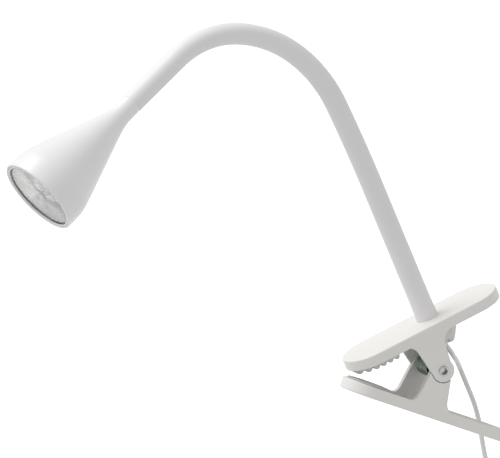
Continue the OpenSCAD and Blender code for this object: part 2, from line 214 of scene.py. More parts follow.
def grid_faces(rows: int, columns: int, wrap_rows: bool) -> np.ndarray:
    """Four-sided faces of a grid of points whose columns always close on themselves.

    Args:
        rows: Number of rows.
        columns: Number of points in each row.
        wrap_rows: Whether the last row also joins the first.

    Returns:
        Faces by 4, as point numbers.
    """
    i = np.arange(rows if wrap_rows else rows - 1)[:, None]
    j = np.arange(columns)[None, :]
    i_next, j_next = (i + 1) % rows, (j + 1) % columns
    corners = [i * columns + j, i * columns + j_next, i_next * columns + j_next, i_next * columns + j]
    return np.stack(corners, axis=-1).reshape(-1, 4)


def turned(profile: np.ndarray, axes: Axes, sides: int = 96, flutes: int = 0,
           depth: float = 0.0) -> np.ndarray:
    """A profile turned about an axis: (r cos a, r sin a, h), with r drawn in by flutes.

    Args:
        profile: Radius and height of each point.
        axes: The axis is their z.
        sides: Points round the axis.
        flutes: Number of shallow hollows round the axis.
        depth: How much of the radius a hollow takes away.

    Returns:
        A grid of points, profile points by sides by 3.
    """
    angle = 2.0 * np.pi * np.arange(sides)[None, :] / sides
    radius = profile[:, :1] * (1.0 - depth * np.abs(np.sin(flutes * angle / 2.0)))
    height = np.broadcast_to(profile[:, 1:], radius.shape)
    return axes.place(np.stack([radius * np.cos(angle), radius * np.sin(angle), height], axis=-1))


def swept(path: np.ndarray, outline: np.ndarray, reference: np.ndarray) -> np.ndarray:
    """An outline carried along a path, square to it, with both ends drawn together to a point.

    Args:
        path: Points of the path, n by 3.
        outline: Points across the path, k by 2, or n by k by 2 where it changes.
        reference: A direction that the path never runs along.

    Returns:
        A grid of points, n + 2 by k by 3.
    """
    tangent = np.gradient(path, axis=0)
    tangent /= np.linalg.norm(tangent, axis=1, keepdims=True)
    side = np.cross(tangent, reference)
    side /= np.linalg.norm(side, axis=1, keepdims=True)
    over = np.cross(tangent, side)
    outline = np.broadcast_to(outline, (len(path),) + outline.shape[-2:])
    rings = path[:, None] + outline[..., :1] * side[:, None] + outline[..., 1:] * over[:, None]
    ends = [np.broadcast_to(p, rings.shape[1:])[None] for p in (path[0], path[-1])]
    return np.concatenate([ends[0], rings, ends[1]])


def round_outline(radius: float, sides: int = 16) -> np.ndarray:
    """A circle's outline."""
    return arc((0.0, 0.0), radius, 0.0, 360.0 * (sides - 1) / sides, sides)


# ---- finishes ----


class Value:
    """A shader value that Python's operators work on, each adding its Math node."""

    def __init__(self, graph: "Graph", socket: bpy.types.NodeSocket) -> None:
        """Wraps one output socket of a graph."""
        self.graph = graph
        self.socket = socket

    def __add__(self, other: Union["Value", Number]) -> "Value":
        """self + other."""
        return self.graph.math("ADD", self, other)

    def __sub__(self, other: Union["Value", Number]) -> "Value":
        """self - other."""
        return self.graph.math("SUBTRACT", self, other)

    def __rsub__(self, other: Number) -> "Value":
        """other - self."""
        return self.graph.math("SUBTRACT", other, self)

    def __mul__(self, other: Union["Value", Number]) -> "Value":
        """self * other."""
        return self.graph.math("MULTIPLY", self, other)

    def __pow__(self, other: Union["Value", Number]) -> "Value":
        """self ** other."""
        return self.graph.math("POWER", self, other)

    __radd__ = __add__
    __rmul__ = __mul__


class Graph:
    """A material's nodes."""

    def __init__(self, name: str) -> None:
        """Starts a material with an empty tree.

        Args:
            name: The material's name.
        """
        self.material = bpy.data.materials.new(name)
        self.material.use_nodes = True
        self.tree = self.material.node_tree
        self.tree.nodes.clear()
        self.place = self.node("ShaderNodeTexCoord", output="Object")

    def node(self, kind: str, settings: Optional[dict[str, Any]] = None,
             inputs: Optional[dict[Any, Any]] = None, output: Union[int, str] = 0) -> Value:
        """Adds one node.

        Args:
            kind: Blender's name for the node.
            settings: The node's own properties, set first.
            inputs: Values or links by socket name or number.
            output: The socket to return.

        Returns:
            The output socket as a Value.
        """
        made = self.tree.nodes.new(kind)
        for name, setting in (settings or {}).items():
            setattr(made, name, setting)
        for name, given in (inputs or {}).items():
            if isinstance(given, Value):
                self.tree.links.new(given.socket, made.inputs[name])
            else:
                made.inputs[name].default_value = given
        return Value(self, made.outputs[output])

    def math(self, operation: str, *values: Union[Value, Number]) -> Value:
        """Adds a Math node.

        Args:
            operation: Its operation.
            *values: Its inputs.

        Returns:
            Its result.
        """
        return self.node("ShaderNodeMath", {"operation": operation}, dict(enumerate(values)))

    def mapped(self, stretch: Triple) -> Value:
        """Object coordinates with each axis stretched."""
        return self.node("ShaderNodeMapping", None, {"Vector": self.place, "Scale": stretch})

    def noise(self, size: float, detail: float = 2.0, vector: Optional[Value] = None) -> Value:
        """Soft noise from 0 to 1.

        Args:
            size: Size of its lumps in metres.
            detail: Number of finer layers.
            vector: Where to read it, or None for Object coordinates.

        Returns:
            The noise.
        """
        inputs = {"Vector": vector or self.place, "Scale": 1.0 / size, "Detail": detail}
        return self.node("ShaderNodeTexNoise", None, inputs)

    def blend(self, factor: Value, first: Triple, second: Triple) -> Value:
        """Mixes two colours.

        Args:
            factor: 0 for the first, 1 for the second.
            first: A colour.
            second: Another colour.

        Returns:
            The mixed colour.
        """
        inputs = {0: factor, 6: (*first, 1.0), 7: (*second, 1.0)}
        return self.node("ShaderNodeMix", {"data_type": "RGBA"}, inputs, output=2)

    def bump(self, height: Value, depth: float) -> Value:
        """Turns a height from 0 to 1 into a normal.

        Args:
            height: The height.
            depth: What a height of 1 stands for, in metres.

        Returns:
            The normal.
        """
        return self.node("ShaderNodeBump", None, {"Height": height, "Distance": depth, "Strength": 1.0})

    def finish(self, inputs: dict[str, Any]) -> bpy.types.Material:
        """Closes the tree with a Principled shader.

        Args:
            inputs: The shader's values and links.

        Returns:
            The material.
        """
        shader = self.node("ShaderNodeBsdfPrincipled", None, inputs)
        self.node_output(shader)
        return self.material

    def node_output(self, shader: Value) -> None:
        """Adds the output node and links the shader to it."""
        out = self.tree.nodes.new("ShaderNodeOutputMaterial")
        self.tree.links.new(shader.socket, out.inputs["Surface"])


@dataclass(frozen=True)
class Moulded:
    """Moulded plastic, rubber or paint: a fine grain, faint clouding and a little handling gloss.

    Attributes:
        colour: Its colour.
        shade: The colour it clouds towards.
        roughness: Middle roughness.
        grain: Size of the surface grain in metres.
        depth: Depth of the grain in metres.
        coat: Weight of a clear top coat.
        specular: Specular level.
    """

    colour: Triple
    shade: Triple
    roughness: float = 0.45
    grain: float = 0.0006
    depth: float = 0.00003
    coat: float = 0.0
    specular: float = 0.5

    def material(self, name: str) -> bpy.types.Material:
        """Builds the material."""
        graph = Graph(name)
        cloud = graph.noise(0.035, 3.0)
        handling = graph.noise(0.012, 4.0)
        grain = graph.noise(self.grain, 3.0)
        pits = graph.noise(self.grain * 3.1, 1.0) ** 2.0
        return graph.finish({
            "Base Color": graph.blend(cloud * 0.9, self.colour, self.shade),
            "Roughness": handling * 0.16 + (self.roughness - 0.08) + (grain - 0.5) * 0.06,
            "Normal": graph.bump(grain * 0.7 + pits * 0.3, self.depth),
            "Coat Weight": self.coat,
            "Coat Roughness": 0.2,
            "Specular IOR Level": self.specular,
        })


@dataclass(frozen=True)
class Metal:
    """Bare or plated metal with drawn streaks and a little staining.

    Attributes:
        colour: Its colour.
        stain: The colour of its stains.
        roughness: Middle roughness.
        streak: Stretch of the streaks along each axis.
        grain: Width of a streak in metres.
        depth: Depth of a streak in metres.
    """

    colour: Triple
    stain: Triple
    roughness: float = 0.3
    streak: Triple = (1.0, 1.0, 0.12)
    grain: float = 0.0005
    depth: float = 0.00001

    def material(self, name: str) -> bpy.types.Material:
        """Builds the material."""
        graph = Graph(name)
        streaks = graph.noise(self.grain, 3.0, graph.mapped(self.streak))
        stain = graph.noise(0.006, 4.0) ** 3.0
        return graph.finish({
            "Base Color": graph.blend(stain, self.colour, self.stain),
            "Metallic": 1.0,
            "Roughness": streaks * 0.2 + stain * 0.25 + (self.roughness - 0.12),
            "Normal": graph.bump(streaks, self.depth),
        })


@dataclass(frozen=True)
class Woven:
    """A woven strap: two crossing sets of threads over a darker ground.

    Attributes:
        colour: Colour of the threads.
        ground: Colour between the threads.
        pitch: Spacing of the threads in metres.
    """

    colour: Triple
    ground: Triple
    pitch: float = 0.0007

    def material(self, name: str) -> bpy.types.Material:
        """Builds the material."""
        graph = Graph(name)
        waves = [
            graph.node("ShaderNodeTexWave", {"bands_direction": way},
                       {"Vector": graph.place, "Scale": WAVE_SCALE / self.pitch, "Distortion": 0.6},
                       output="Fac")
            for way in ("DIAGONAL", "Y")
        ]
        weave = waves[0] * 0.5 + waves[1] * 0.5
        fuzz = graph.noise(0.0003, 2.0)
        return graph.finish({
            "Base Color": graph.blend(weave, self.ground, self.colour),
            "Roughness": fuzz * 0.15 + 0.75,
            "Normal": graph.bump(weave * 0.7 + fuzz * 0.3, 0.0002),
            "Sheen Weight": 0.4,
        })


@dataclass(frozen=True)
class Clear:
    """Clear polished plastic with faint moulding ripples.

    Attributes:
        colour: Its tint.
        roughness: Its roughness.
    """

    colour: Triple
    roughness: float = 0.03

    def material(self, name: str) -> bpy.types.Material:
        """Builds the material."""
        graph = Graph(name)
        ripple = graph.noise(0.006, 2.0)
        return graph.finish({
            "Base Color": (*self.colour, 1.0),
            "Roughness": self.roughness,
            "Transmission Weight": 1.0,
            "IOR": 1.46,
            "Normal": graph.bump(ripple, 0.000015),
        })


WARM_WHITE = (0.825, 0.81, 0.78)
WARM_SHADE = (0.795, 0.78, 0.75)
COOL_WHITE = (0.83, 0.82, 0.825)
COOL_SHADE = (0.80, 0.79, 0.795)


class Slot(Enum):
    """The part's material slots, each with its finish."""

    clamp_white = Moulded(WARM_WHITE, WARM_SHADE, 0.42)
    neck_skin = Moulded(COOL_WHITE, COOL_SHADE, 0.5, 0.0005, 0.00002)
    shade_white = Moulded((0.85, 0.845, 0.845), (0.825, 0.82, 0.815), 0.36, 0.0008, 0.00001)
    fitting_white = Moulded(WARM_WHITE, COOL_SHADE, 0.4, 0.0005, 0.00004)
    rocker_white = Moulded((0.78, 0.79, 0.79), COOL_SHADE, 0.28, 0.0009, 0.00001, 0.2)
    cord_pvc = Moulded(COOL_WHITE, COOL_SHADE, 0.38, 0.0007, 0.00002)
    # the pads' greys are partly the rubber's own colour and partly painted shade from between the jaws
    pad_light = Moulded((0.62, 0.62, 0.61), (0.56, 0.57, 0.56), 0.62, 0.0004, 0.00006)
    pad_grey = Moulded((0.52, 0.52, 0.53), (0.47, 0.47, 0.48), 0.58, 0.0004, 0.00005)
    grommet = Moulded((0.42, 0.42, 0.42), (0.36, 0.36, 0.36), 0.6, 0.0004, 0.00004)
    bush_nylon = Moulded((0.03, 0.035, 0.035), (0.05, 0.05, 0.05), 0.5, 0.0006, 0.00003)
    connector = Moulded((0.72, 0.69, 0.60), (0.66, 0.63, 0.54), 0.42, 0.0006, 0.00002)
    board = Moulded((0.70, 0.73, 0.70), (0.64, 0.68, 0.65), 0.35, 0.0012, 0.00002, 0.3)
    led_yellow = Moulded((0.78, 0.60, 0.16), (0.70, 0.52, 0.12), 0.35, 0.0003, 0.00003, 0.4)
    rivet_steel = Metal((0.42, 0.43, 0.43), (0.28, 0.28, 0.27), 0.2, (1.0, 0.2, 1.0))
    spring_steel = Metal((0.27, 0.32, 0.29), (0.12, 0.14, 0.13), 0.2, (0.3, 1.0, 0.3))
    fixing_steel = Metal((0.66, 0.65, 0.62), (0.42, 0.40, 0.36), 0.32)
    core_steel = Metal((0.42, 0.42, 0.43), (0.26, 0.25, 0.24), 0.4, (1.0, 1.0, 6.0), 0.003, 0.0002)
    plug_metal = Metal((0.72, 0.72, 0.68), (0.55, 0.53, 0.48), 0.2, (1.0, 0.12, 1.0))
    sink_aluminium = Metal((0.68, 0.69, 0.70), (0.50, 0.50, 0.50), 0.42, (1.0, 1.0, 1.0), 0.001, 0.00005)
    reflector = Metal((0.31, 0.31, 0.295), (0.24, 0.235, 0.21), 0.16, (1.0, 1.0, 1.0), 0.006, 0.00001)
    tie = Woven((0.035, 0.035, 0.04), (0.01, 0.01, 0.012))
    lens_clear = Clear((0.97, 0.98, 0.98))

    def material(self) -> bpy.types.Material:
        """The slot's material, built once."""
        name = f"finish_{self.name}"
        return bpy.data.materials.get(name) or self.value.material(name)


# ---- pieces ----


def sharpen(mesh: bpy.types.Mesh, degrees: float = 34.0) -> None:
    """Shades a mesh smooth with a crease wherever it turns more than an angle.

    Args:
        mesh: The mesh.
        degrees: That angle.
    """
    mesh.shade_smooth()
    mesh.set_sharp_from_angle(angle=math.radians(degrees))


def add_piece(name: str, mesh: bpy.types.Mesh, slot: Slot, replaced: Sequence[str]) -> bpy.types.Object:
    """Puts a mesh into the scene as a finished piece.

    Args:
        name: The piece's name.
        mesh: Its mesh.
        slot: Its finish.
        replaced: CAD nodes that it stands for.

    Returns:
        The object.
    """
    piece = bpy.data.objects.new(name, mesh)
    bpy.context.scene.collection.objects.link(piece)
    mesh.materials.clear()
    mesh.materials.append(slot.material())
    if replaced:
        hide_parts(*replaced)
    LOG.info("%s: %d faces, %s", name, len(mesh.polygons), slot.name)
    return piece


def joined_mesh(name: str, points: np.ndarray, faces: list[list[int]]) -> bpy.types.Mesh:
    """Makes a mesh with coincident points joined and faces turned outwards.

    Args:
        name: Its name.
        points: Its points, any shape by 3.
        faces: Point numbers of each face.

    Returns:
        The mesh.
    """
    mesh = bpy.data.meshes.new(name)
    mesh.from_pydata(points.reshape(-1, 3).tolist(), [], faces)
    work = bmesh.new()
    work.from_mesh(mesh)
    bmesh.ops.remove_doubles(work, verts=work.verts, dist=JOIN_GAP)
    bmesh.ops.recalc_face_normals(work, faces=work.faces)
    work.to_mesh(mesh)
    work.free()
    return mesh


def surface_piece(name: str, points: np.ndarray, wrap_rows: bool, slot: Slot,
                  replaced: Sequence[str]) -> bpy.types.Object:
    """Makes a closed piece from a grid of points.

    Args:
        name: The piece's name.
        points: Rows by columns by 3, whose columns close on themselves.
        wrap_rows: Whether the rows do too.
        slot: Its finish.
        replaced: CAD nodes that it stands for.

    Returns:
        The object.
    """
    rows, columns = points.shape[:2]
    mesh = joined_mesh(name, points, grid_faces(rows, columns, wrap_rows).tolist())
    sharpen(mesh)
    return add_piece(name, mesh, slot, replaced)


def working_shape(name: str, points: np.ndarray, caps: bool) -> bpy.types.Object:
    """Makes a bare shape, to be joined or cut, from a grid of points.

    Args:
        name: Its name.
        points: Rows by columns by 3, whose columns close on themselves.
        caps: Whether the first and last rows are filled in flat.

    Returns:
        The shape.
    """
    rows, columns = points.shape[:2]
    faces = grid_faces(rows, columns, False).tolist()
    if caps:
        faces += [list(range(columns - 1, -1, -1)), list(range((rows - 1) * columns, rows * columns))]
    shape = bpy.data.objects.new(name, joined_mesh(name, points, faces))
    bpy.context.scene.collection.objects.link(shape)
    return shape


def slab(outline: np.ndarray, low: float, high: float, edge: float, axes: Axes) -> bpy.types.Object:
    """A flat plate with an outline in x and z, thick along y, its edges rounded by a quarter circle.

    Each layer is the outline drawn in along its own normals by edge (1 - sin a), at edge (1 - cos a)
    from the face. The outline may run either way round.

    Args:
        outline: Points by 2.
        low: One face.
        high: The other face.
        edge: Radius of its edges.
        axes: Where it stands.

    Returns:
        The plate as a working shape.
    """
    along = np.roll(outline, -1, axis=0) - np.roll(outline, 1, axis=0)
    normal = np.stack([along[:, 1], -along[:, 0]], axis=1) / np.linalg.norm(along, axis=1, keepdims=True)
    ahead = np.roll(outline, -1, axis=0)
    normal *= np.sign((outline[:, 0] * ahead[:, 1] - outline[:, 1] * ahead[:, 0]).sum())
    quarter = np.radians(np.linspace(0.0, 90.0, EDGE_LAYERS))
    inset = edge * (1.0 - np.sin(quarter))
    sink = edge * (1.0 - np.cos(quarter))
    insets = np.concatenate([inset, inset[::-1]])
    levels = np.concatenate([low + sink, high - sink[::-1]])
    flat = outline[None] - insets[:, None, None] * normal[None]
    height = np.broadcast_to(levels[:, None, None], flat.shape[:2] + (1,))
    local = np.concatenate([flat[..., :1], height, flat[..., 1:]], axis=-1)
    return working_shape("slab", axes.place(local), True)


def tray(front: float, back: float, half_w: float, section: np.ndarray, axes: Axes) -> bpy.types.Object:
    """A long tray with round ends: a section carried round the outline at each distance in from it.

    Args:
        front: Its front end.
        back: Its back end.
        half_w: Half its width, and the radius of its ends.
        section: Distance in from the outline and height of each point, from the middle line round
            the edge and back to the middle line.
        axes: Where it stands.

    Returns:
        The tray as a working shape.
    """
    first, last = front + half_w, back - half_w
    span = np.linspace(last, first, STRAIGHT_STEPS + 2)[1:-1]
    middle = np.concatenate([np.full(END_STEPS, last), span, np.full(END_STEPS, first), span[::-1]])
    ends = [arc((0.0, 0.0), 1.0, start, start + 180.0, END_STEPS) for start in (-90.0, 90.0)]
    sides = [np.tile([0.0, across], (STRAIGHT_STEPS, 1)) for across in (1.0, -1.0)]
    way = np.concatenate([ends[0], sides[0], ends[1], sides[1]])
    reach = (half_w - section[:, 0])[:, None, None] * way[None]
    along = middle[None, :, None] + reach[..., :1]
    height = np.broadcast_to(section[:, 1][:, None, None], along.shape)
    local = np.concatenate([along, reach[..., 1:], height], axis=-1)
    return working_shape("tray", axes.place(local), False)


def tray_section(outer: float, lip: float, half_w: float, wall: float, thick: float) -> np.ndarray:
    """Section of a tray with a rounded outer edge, a soft lip and a filleted floor.

    An extra point stands near each end of every curve, so that the flats between shade evenly.

    Args:
        outer: Height of the outer face.
        lip: Height of the lip.
        half_w: Half the tray's width.
        wall: Thickness of its wall.
        thick: Thickness of its floor.

    Returns:
        Distance in and height of each point.
    """
    side = 1.0 if outer > lip else -1.0
    edge, soft, fillet, near = 0.0011, 0.0004, 0.0008, 0.0006
    floor = outer - side * thick
    way = np.array([1.0, side])
    lip_out = arc((soft, soft), soft, 180.0, 270.0, 5) * way + np.array([0.0, lip])
    lip_in = arc((wall - soft, soft), soft, 270.0, 360.0, 5) * way + np.array([0.0, lip])
    hollow = arc((wall + fillet, -fillet), fillet, 180.0, 90.0, 6) * way + np.array([0.0, floor])
    corner = arc((edge, -edge), edge, 90.0, 180.0, 7) * way + np.array([0.0, outer])
    return np.concatenate([
        [[half_w, outer], [edge + near, outer]], corner, [[0.0, outer - side * (edge + near)]],
        [[0.0, lip + side * (soft + near)]], lip_out, lip_in, [[wall, lip + side * (soft + near)]],
        [[wall, floor - side * (fillet + near)]], hollow, [[wall + fillet + near, floor], [half_w, floor]]])


def carve(base: bpy.types.Object, tool: bpy.types.Object, operation: str) -> None:
    """Joins a working shape to another or cuts it away, and removes the tool.

    Args:
        base: The shape that is kept.
        tool: The shape that is used up.
        operation: UNION or DIFFERENCE.
    """
    step = base.modifiers.new("carve", "BOOLEAN")
    step.operation = operation
    step.solver = "EXACT"
    step.object = tool
    bpy.context.view_layer.update()
    mesh = bpy.data.meshes.new_from_object(base.evaluated_get(bpy.context.evaluated_depsgraph_get()))
    base.modifiers.clear()
    base.data = mesh
    bpy.data.objects.remove(tool)


def shaped_piece(name: str, shape: bpy.types.Object, slot: Slot, node: str) -> bpy.types.Object:
    """Turns a working shape into a finished piece.

    Args:
        name: The piece's name.
        shape: The working shape, which is used up.
        slot: Its finish.
        node: The CAD node it stands for.

    Returns:
        The piece.
    """
    mesh = shape.data
    mesh.name = name
    bpy.data.objects.remove(shape)
    sharpen(mesh)
    return add_piece(name, mesh, slot, [node])


def softened_piece(name: str, node: str, radius: float, slot: Slot) -> bpy.types.Object:
    """Makes a CAD node's shape again with its facets joined and its edges rounded over.

    Args:
        name: The piece's name.
        node: The CAD node it stands for.
        radius: Width of the rounded edges in metres.
        slot: Its finish.

    Returns:
        The object.
    """
    mesh = bpy.data.objects[node].data.copy()
    mesh.name = name
    work = bmesh.new()
    work.from_mesh(mesh)
    bmesh.ops.remove_doubles(work, verts=work.verts, dist=2e-6)
    bmesh.ops.dissolve_limit(work, angle_limit=math.radians(0.8), verts=work.verts, edges=work.edges)
    work.to_mesh(mesh)
    work.free()
    sharpen(mesh)
    piece = add_piece(name, mesh, slot, [node])
    bevel = piece.modifiers.new("rounded edges", "BEVEL")
    bevel.width = radius
    bevel.segments = 3
    bevel.limit_method = "ANGLE"
    bevel.angle_limit = math.radians(32.0)
    bevel.use_clamp_overlap = False
    bevel.harden_normals = True
    return piece


@dataclass(frozen=True)
class Studio:
    """Camera, soft lights and a pale floor.

    Attributes:
        azimuth: Degrees round the lamp.
        elevation: Degrees above level.
        roll: Degrees that the camera leans.
        foot: The neck's foot, from which the camera's aim is set off.
        aim_right: From the foot to the aim, along the camera's right.
        aim_up: The same, along its up.
        distance: From the aim to the camera.
        frame_width: Width seen at the aim.
    """

    azimuth: float = -15.0
    elevation: float = 16.0
    roll: float = 22.8
    foot: Triple = (0.0488, 0.0, 0.012)
    aim_right: float = -0.1240
    aim_up: float = 0.06195
    distance: float = 6.0
    frame_width: float = 0.350

    def camera_axes(self) -> Axes:
        """The camera's right, up and back, with the aim as origin."""
        az, el, roll = (math.radians(a) for a in (self.azimuth, self.elevation, self.roll))
        level_right = np.array([math.cos(az), math.sin(az), 0.0])
        back = np.array([math.sin(az) * math.cos(el), -math.cos(az) * math.cos(el), math.sin(el)])
        level_up = np.cross(back, level_right)
        right = math.cos(roll) * level_right - math.sin(roll) * level_up
        up = math.sin(roll) * level_right + math.cos(roll) * level_up
        aim = np.array(self.foot) + self.aim_right * right + self.aim_up * up
        return Axes(aim, right, up, back)

    def add_camera(self) -> None:
        """Adds the camera."""
        axes = self.camera_axes()
        lens = bpy.data.cameras.new("camera")
        lens.sensor_width = 36.0
        lens.lens = lens.sensor_width * self.distance / self.frame_width
        lens.clip_end = 50.0
        camera = bpy.data.objects.new("camera", lens)
        bpy.context.scene.collection.objects.link(camera)
        turn = Matrix([Vector(axes.x), Vector(axes.y), Vector(axes.z)]).transposed().to_4x4()
        camera.matrix_world = Matrix.Translation(Vector(axes.origin + self.distance * axes.z)) @ turn
        bpy.context.scene.camera = camera

    def add_sun(self, name: str, towards: Triple, strength: float, spread: float) -> None:
        """Adds one soft light.

        Args:
            name: Its name.
            towards: Where it stands, along the camera's right, up and back.
            strength: Its strength.
            spread: Width of its disc in degrees.
        """
        axes = self.camera_axes()
        way = Vector(axes.place(np.array(towards)) - axes.origin).normalized()
        lamp = bpy.data.lights.new(name, "SUN")
        lamp.energy = strength
        lamp.angle = math.radians(spread)
        holder = bpy.data.objects.new(name, lamp)
        holder.rotation_euler = way.to_track_quat("Z", "Y").to_euler()
        bpy.context.scene.collection.objects.link(holder)

    def add_floor(self, height: float) -> None:
        """Adds the floor.

        Args:
            height: Its level.
        """
        half = 12.0
        corners = [(x * half, y * half, height) for x, y in ((-1, -1), (1, -1), (1, 1), (-1, 1))]
        mesh = bpy.data.meshes.new("floor")
        mesh.from_pydata(corners, [], [(0, 1, 2, 3)])
        floor = bpy.data.objects.new("floor", mesh)
        # bounced light passes the floor by, so that the lamp's undersides keep their shade
        floor.visible_diffuse = False
        bpy.context.scene.collection.objects.link(floor)
        graph = Graph("floor_white")
        tone = graph.noise(0.6, 2.0)
        mesh.materials.append(graph.finish({
            "Base Color": graph.blend(tone, (0.93, 0.93, 0.93), (0.95, 0.95, 0.95)),
            "Roughness": 0.9,
            "Specular IOR Level": 0.1,
            "Emission Color": (1.0, 1.0, 1.0, 1.0),
            "Emission Strength": 0.2,
        }))
        floor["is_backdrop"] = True

    def light(self) -> None:
        """Adds the sky and the lights."""
        scene = bpy.context.scene
        scene.view_settings.view_transform = "Standard"
        sky = bpy.data.worlds.new("studio")
        sky.use_nodes = True
        sky.node_tree.nodes["Background"].inputs["Color"].default_value = (1.0, 1.0, 1.0, 1.0)
        sky.node_tree.nodes["Background"].inputs["Strength"].default_value = 0.62
        scene.world = sky
        self.add_sun("key", (-0.60, 0.80, 0.14), 1.9, 40.0)
        self.add_sun("side", (0.9, 0.15, -0.35), 0.45, 30.0)


@dataclass(frozen=True)
class Lead:
    """The cord with its switch, its tied coil and its plug-in driver.

    Attributes:
        route: Points from inside the outlet box down to the switch.
        cord_r: Radius of the cord.
        coil_r: Radius of the coil's middle layer.
        coil_z: Height of the coil's centre.
        drop: From the coil's centre up to the switch and down to the driver's cord.
        switch_l: Length of the switch.
        relief_top: Top of the driver's strain relief.
        relief_l: Length of that strain relief.
    """

    route: tuple[Triple, ...] = (
        (0.0531, 0, -0.0056), (0.0531, 0, -0.0086), (0.0536, 0, -0.0116), (0.0545, 0.0003, -0.0150),
        (0.0558, 0.0016, -0.0193), (0.0573, 0.0050, -0.0240), (0.0600, 0.0120, -0.0300),
        (0.0625, 0.0200, -0.0380),
        (0.0635, 0.0238, -0.0470), (0.0637, 0.0245, -0.0580), (0.0634, 0.0245, -0.0690),
        (0.0618, 0.0245, -0.0810), (0.0590, 0.0245, -0.0930), (0.0565, 0.0245, -0.1040),
        (0.0552, 0.0245, -0.1120), (0.0550, 0.0245, -0.1180),
    )
    cord_r: float = 0.0018
    coil_r: float = 0.0215
    coil_z: float = -0.205
    drop: float = 0.041
    switch_l: float = 0.046
    relief_top: float = -0.243
    relief_l: float = 0.020

    def coil_path(self) -> np.ndarray:
        """The cord from the switch, round the coil and down to the driver.

        It swings out on an arc of radius (d^2 - R^2) / 2R that meets the outer layer of radius R
        from the switch's foot a distance d above the centre, and leaves by the same arc turned half
        way round. Each slot of the coil is one turn, a cord's width from the last, and the cord
        moves over between slots in the last tenth of a turn.

        Returns:
            Points of the path.
        """
        pitch = 2.0 * self.cord_r
        outer = self.coil_r + pitch
        swing = (self.drop**2 - outer**2) / (2.0 * outer)
        meet = math.atan2(swing, self.drop)
        slots = np.array([(1, -1.5), (1, -0.5), (0, -0.5), (0, -1.5), (-1, -1.5), (-1, -0.5),
                          (-1, 0.5), (-1, 1.5), (0, 1.5), (0, 0.5), (1, 0.5), (1, 1.5)]) * pitch
        turns = len(slots) - 0.5
        tau = np.linspace(0.0, turns, int(turns * 40) + 1)
        slot = np.minimum(tau.astype(int), len(slots) - 1)
        ahead = np.minimum(slot + 1, len(slots) - 1)
        ease = smooth_step((tau - slot - 0.86) / 0.14)[:, None]
        place = slots[slot] * (1.0 - ease) + slots[ahead] * ease
        angle = meet + 2.0 * np.pi * tau
        radius = self.coil_r + place[:, 0]
        ring = np.stack([radius * np.sin(angle), place[:, 1], radius * np.cos(angle)], axis=1)
        sweep = np.linspace(0.0, math.pi / 2.0 - meet, 12)
        entry = np.stack([swing * (1.0 - np.cos(sweep)),
                          slots[0, 1] * smooth_step(sweep / sweep[-1]),
                          self.drop - swing * np.sin(sweep)], axis=1)
        leave = -entry[::-1] * np.array([1.0, slots[-1, 1] / -slots[0, 1], 1.0])
        centre = np.array([self.route[-1][0], self.route[-1][1], self.coil_z])
        return centre + np.concatenate([entry[:-1], ring, leave[1:]])

    def path(self) -> np.ndarray:
        """The whole cord's centreline."""
        lead = smooth_route(np.array(self.route), 3)
        foot = lead[-1] - Z * self.switch_l
        inside = np.linspace(lead[-1], foot, 8)[1:-1]
        end = np.array([self.route[-1][0], self.route[-1][1], self.relief_top - self.relief_l])
        coil = self.coil_path()
        tail = np.linspace(coil[-1], end, 6)[1:]
        return np.concatenate([lead, inside, coil, tail])

    def build(self) -> None:
        """Makes the cord and every piece on it."""
        path = self.path()
        cord = surface_piece("lead_cord", swept(path, round_outline(self.cord_r), Y), False, Slot.cord_pvc,
                             ["cord_lead", "cord_mid", "cord_end", "cord_coil"])
        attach(cord, "clamp")
        pieces = [self.tie(), self.relief()]
        for name, node, radius in (("switch_back_shell", "switch_base", 0.0018),
                                   ("switch_front_shell", "switch_cover", 0.0018),
                                   ("driver_case", "driver_body", 0.0025),
                                   ("driver_front", "driver_face", 0.0008)):
            pieces.append(softened_piece(name, node, radius, Slot.fitting_white))
        for number in (1, 2):
            pin = softened_piece(f"driver_pin_{number}", f"plug_pin_{number}", 0.0004, Slot.plug_metal)
            pieces.append(pin)
        for piece in pieces:
            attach(piece, "clamp")
        rocker = softened_piece("rocker_button", "switch_rocker", 0.0006, Slot.rocker_white)
        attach(rocker, "rocker")
        LOG.info("lead is %.3f m long", path_length(path))

    def tie(self) -> bpy.types.Object:
        """The strap round the coil: a round-cornered band carried round the bundle's section."""
        centre = np.array([self.route[-1][0], self.route[-1][1], self.coil_z])
        section = rounded_box(0.0066, 0.0086, 0.0040, 9)
        strap = rounded_box(0.00048, 0.0030, 0.00035, 4)
        angle = math.radians(126.0)
        out = np.array([math.cos(angle), 0.0, math.sin(angle)])
        along = np.array([-math.sin(angle), 0.0, math.cos(angle)])
        middle = centre + out * self.coil_r
        path = middle + section[:, :1] * out + section[:, 1:] * Y
        normal = np.roll(section, -1, axis=0) - np.roll(section, 1, axis=0)
        normal = normal / np.linalg.norm(normal, axis=1, keepdims=True)
        outward = normal[:, 1:] * out - normal[:, :1] * Y
        points = path[:, None] + strap[None, :, :1] * outward[:, None] + strap[None, :, 1:] * along
        return surface_piece("coil_strap", points, True, Slot.tie, ["coil_tie"])

    def relief(self) -> bpy.types.Object:
        """The driver's strain relief: a taper with grooves, r = r0 - k h - g |sin|, closed at both ends."""
        height = np.linspace(0.0, self.relief_l, 90)
        share = height / self.relief_l
        grooves, deep = 6.0, 0.00035
        groove = deep * np.clip(np.sin(share * 2.0 * np.pi * grooves), 0.0, 1.0)
        groove *= (share > 0.1) * (share < 0.93)
        radius = 0.0040 - 0.0014 * share - groove
        profile = np.stack([radius, height], axis=1)
        profile = np.concatenate([[[0.0, 0.0]], profile, [[0.0, self.relief_l]]])
        base = np.array([self.route[-1][0], self.route[-1][1], self.relief_top - self.relief_l])
        return surface_piece("driver_strain_relief", turned(profile, Axes(base, X, Y, Z), 48), False,
                             Slot.fitting_white, ["driver_relief"])


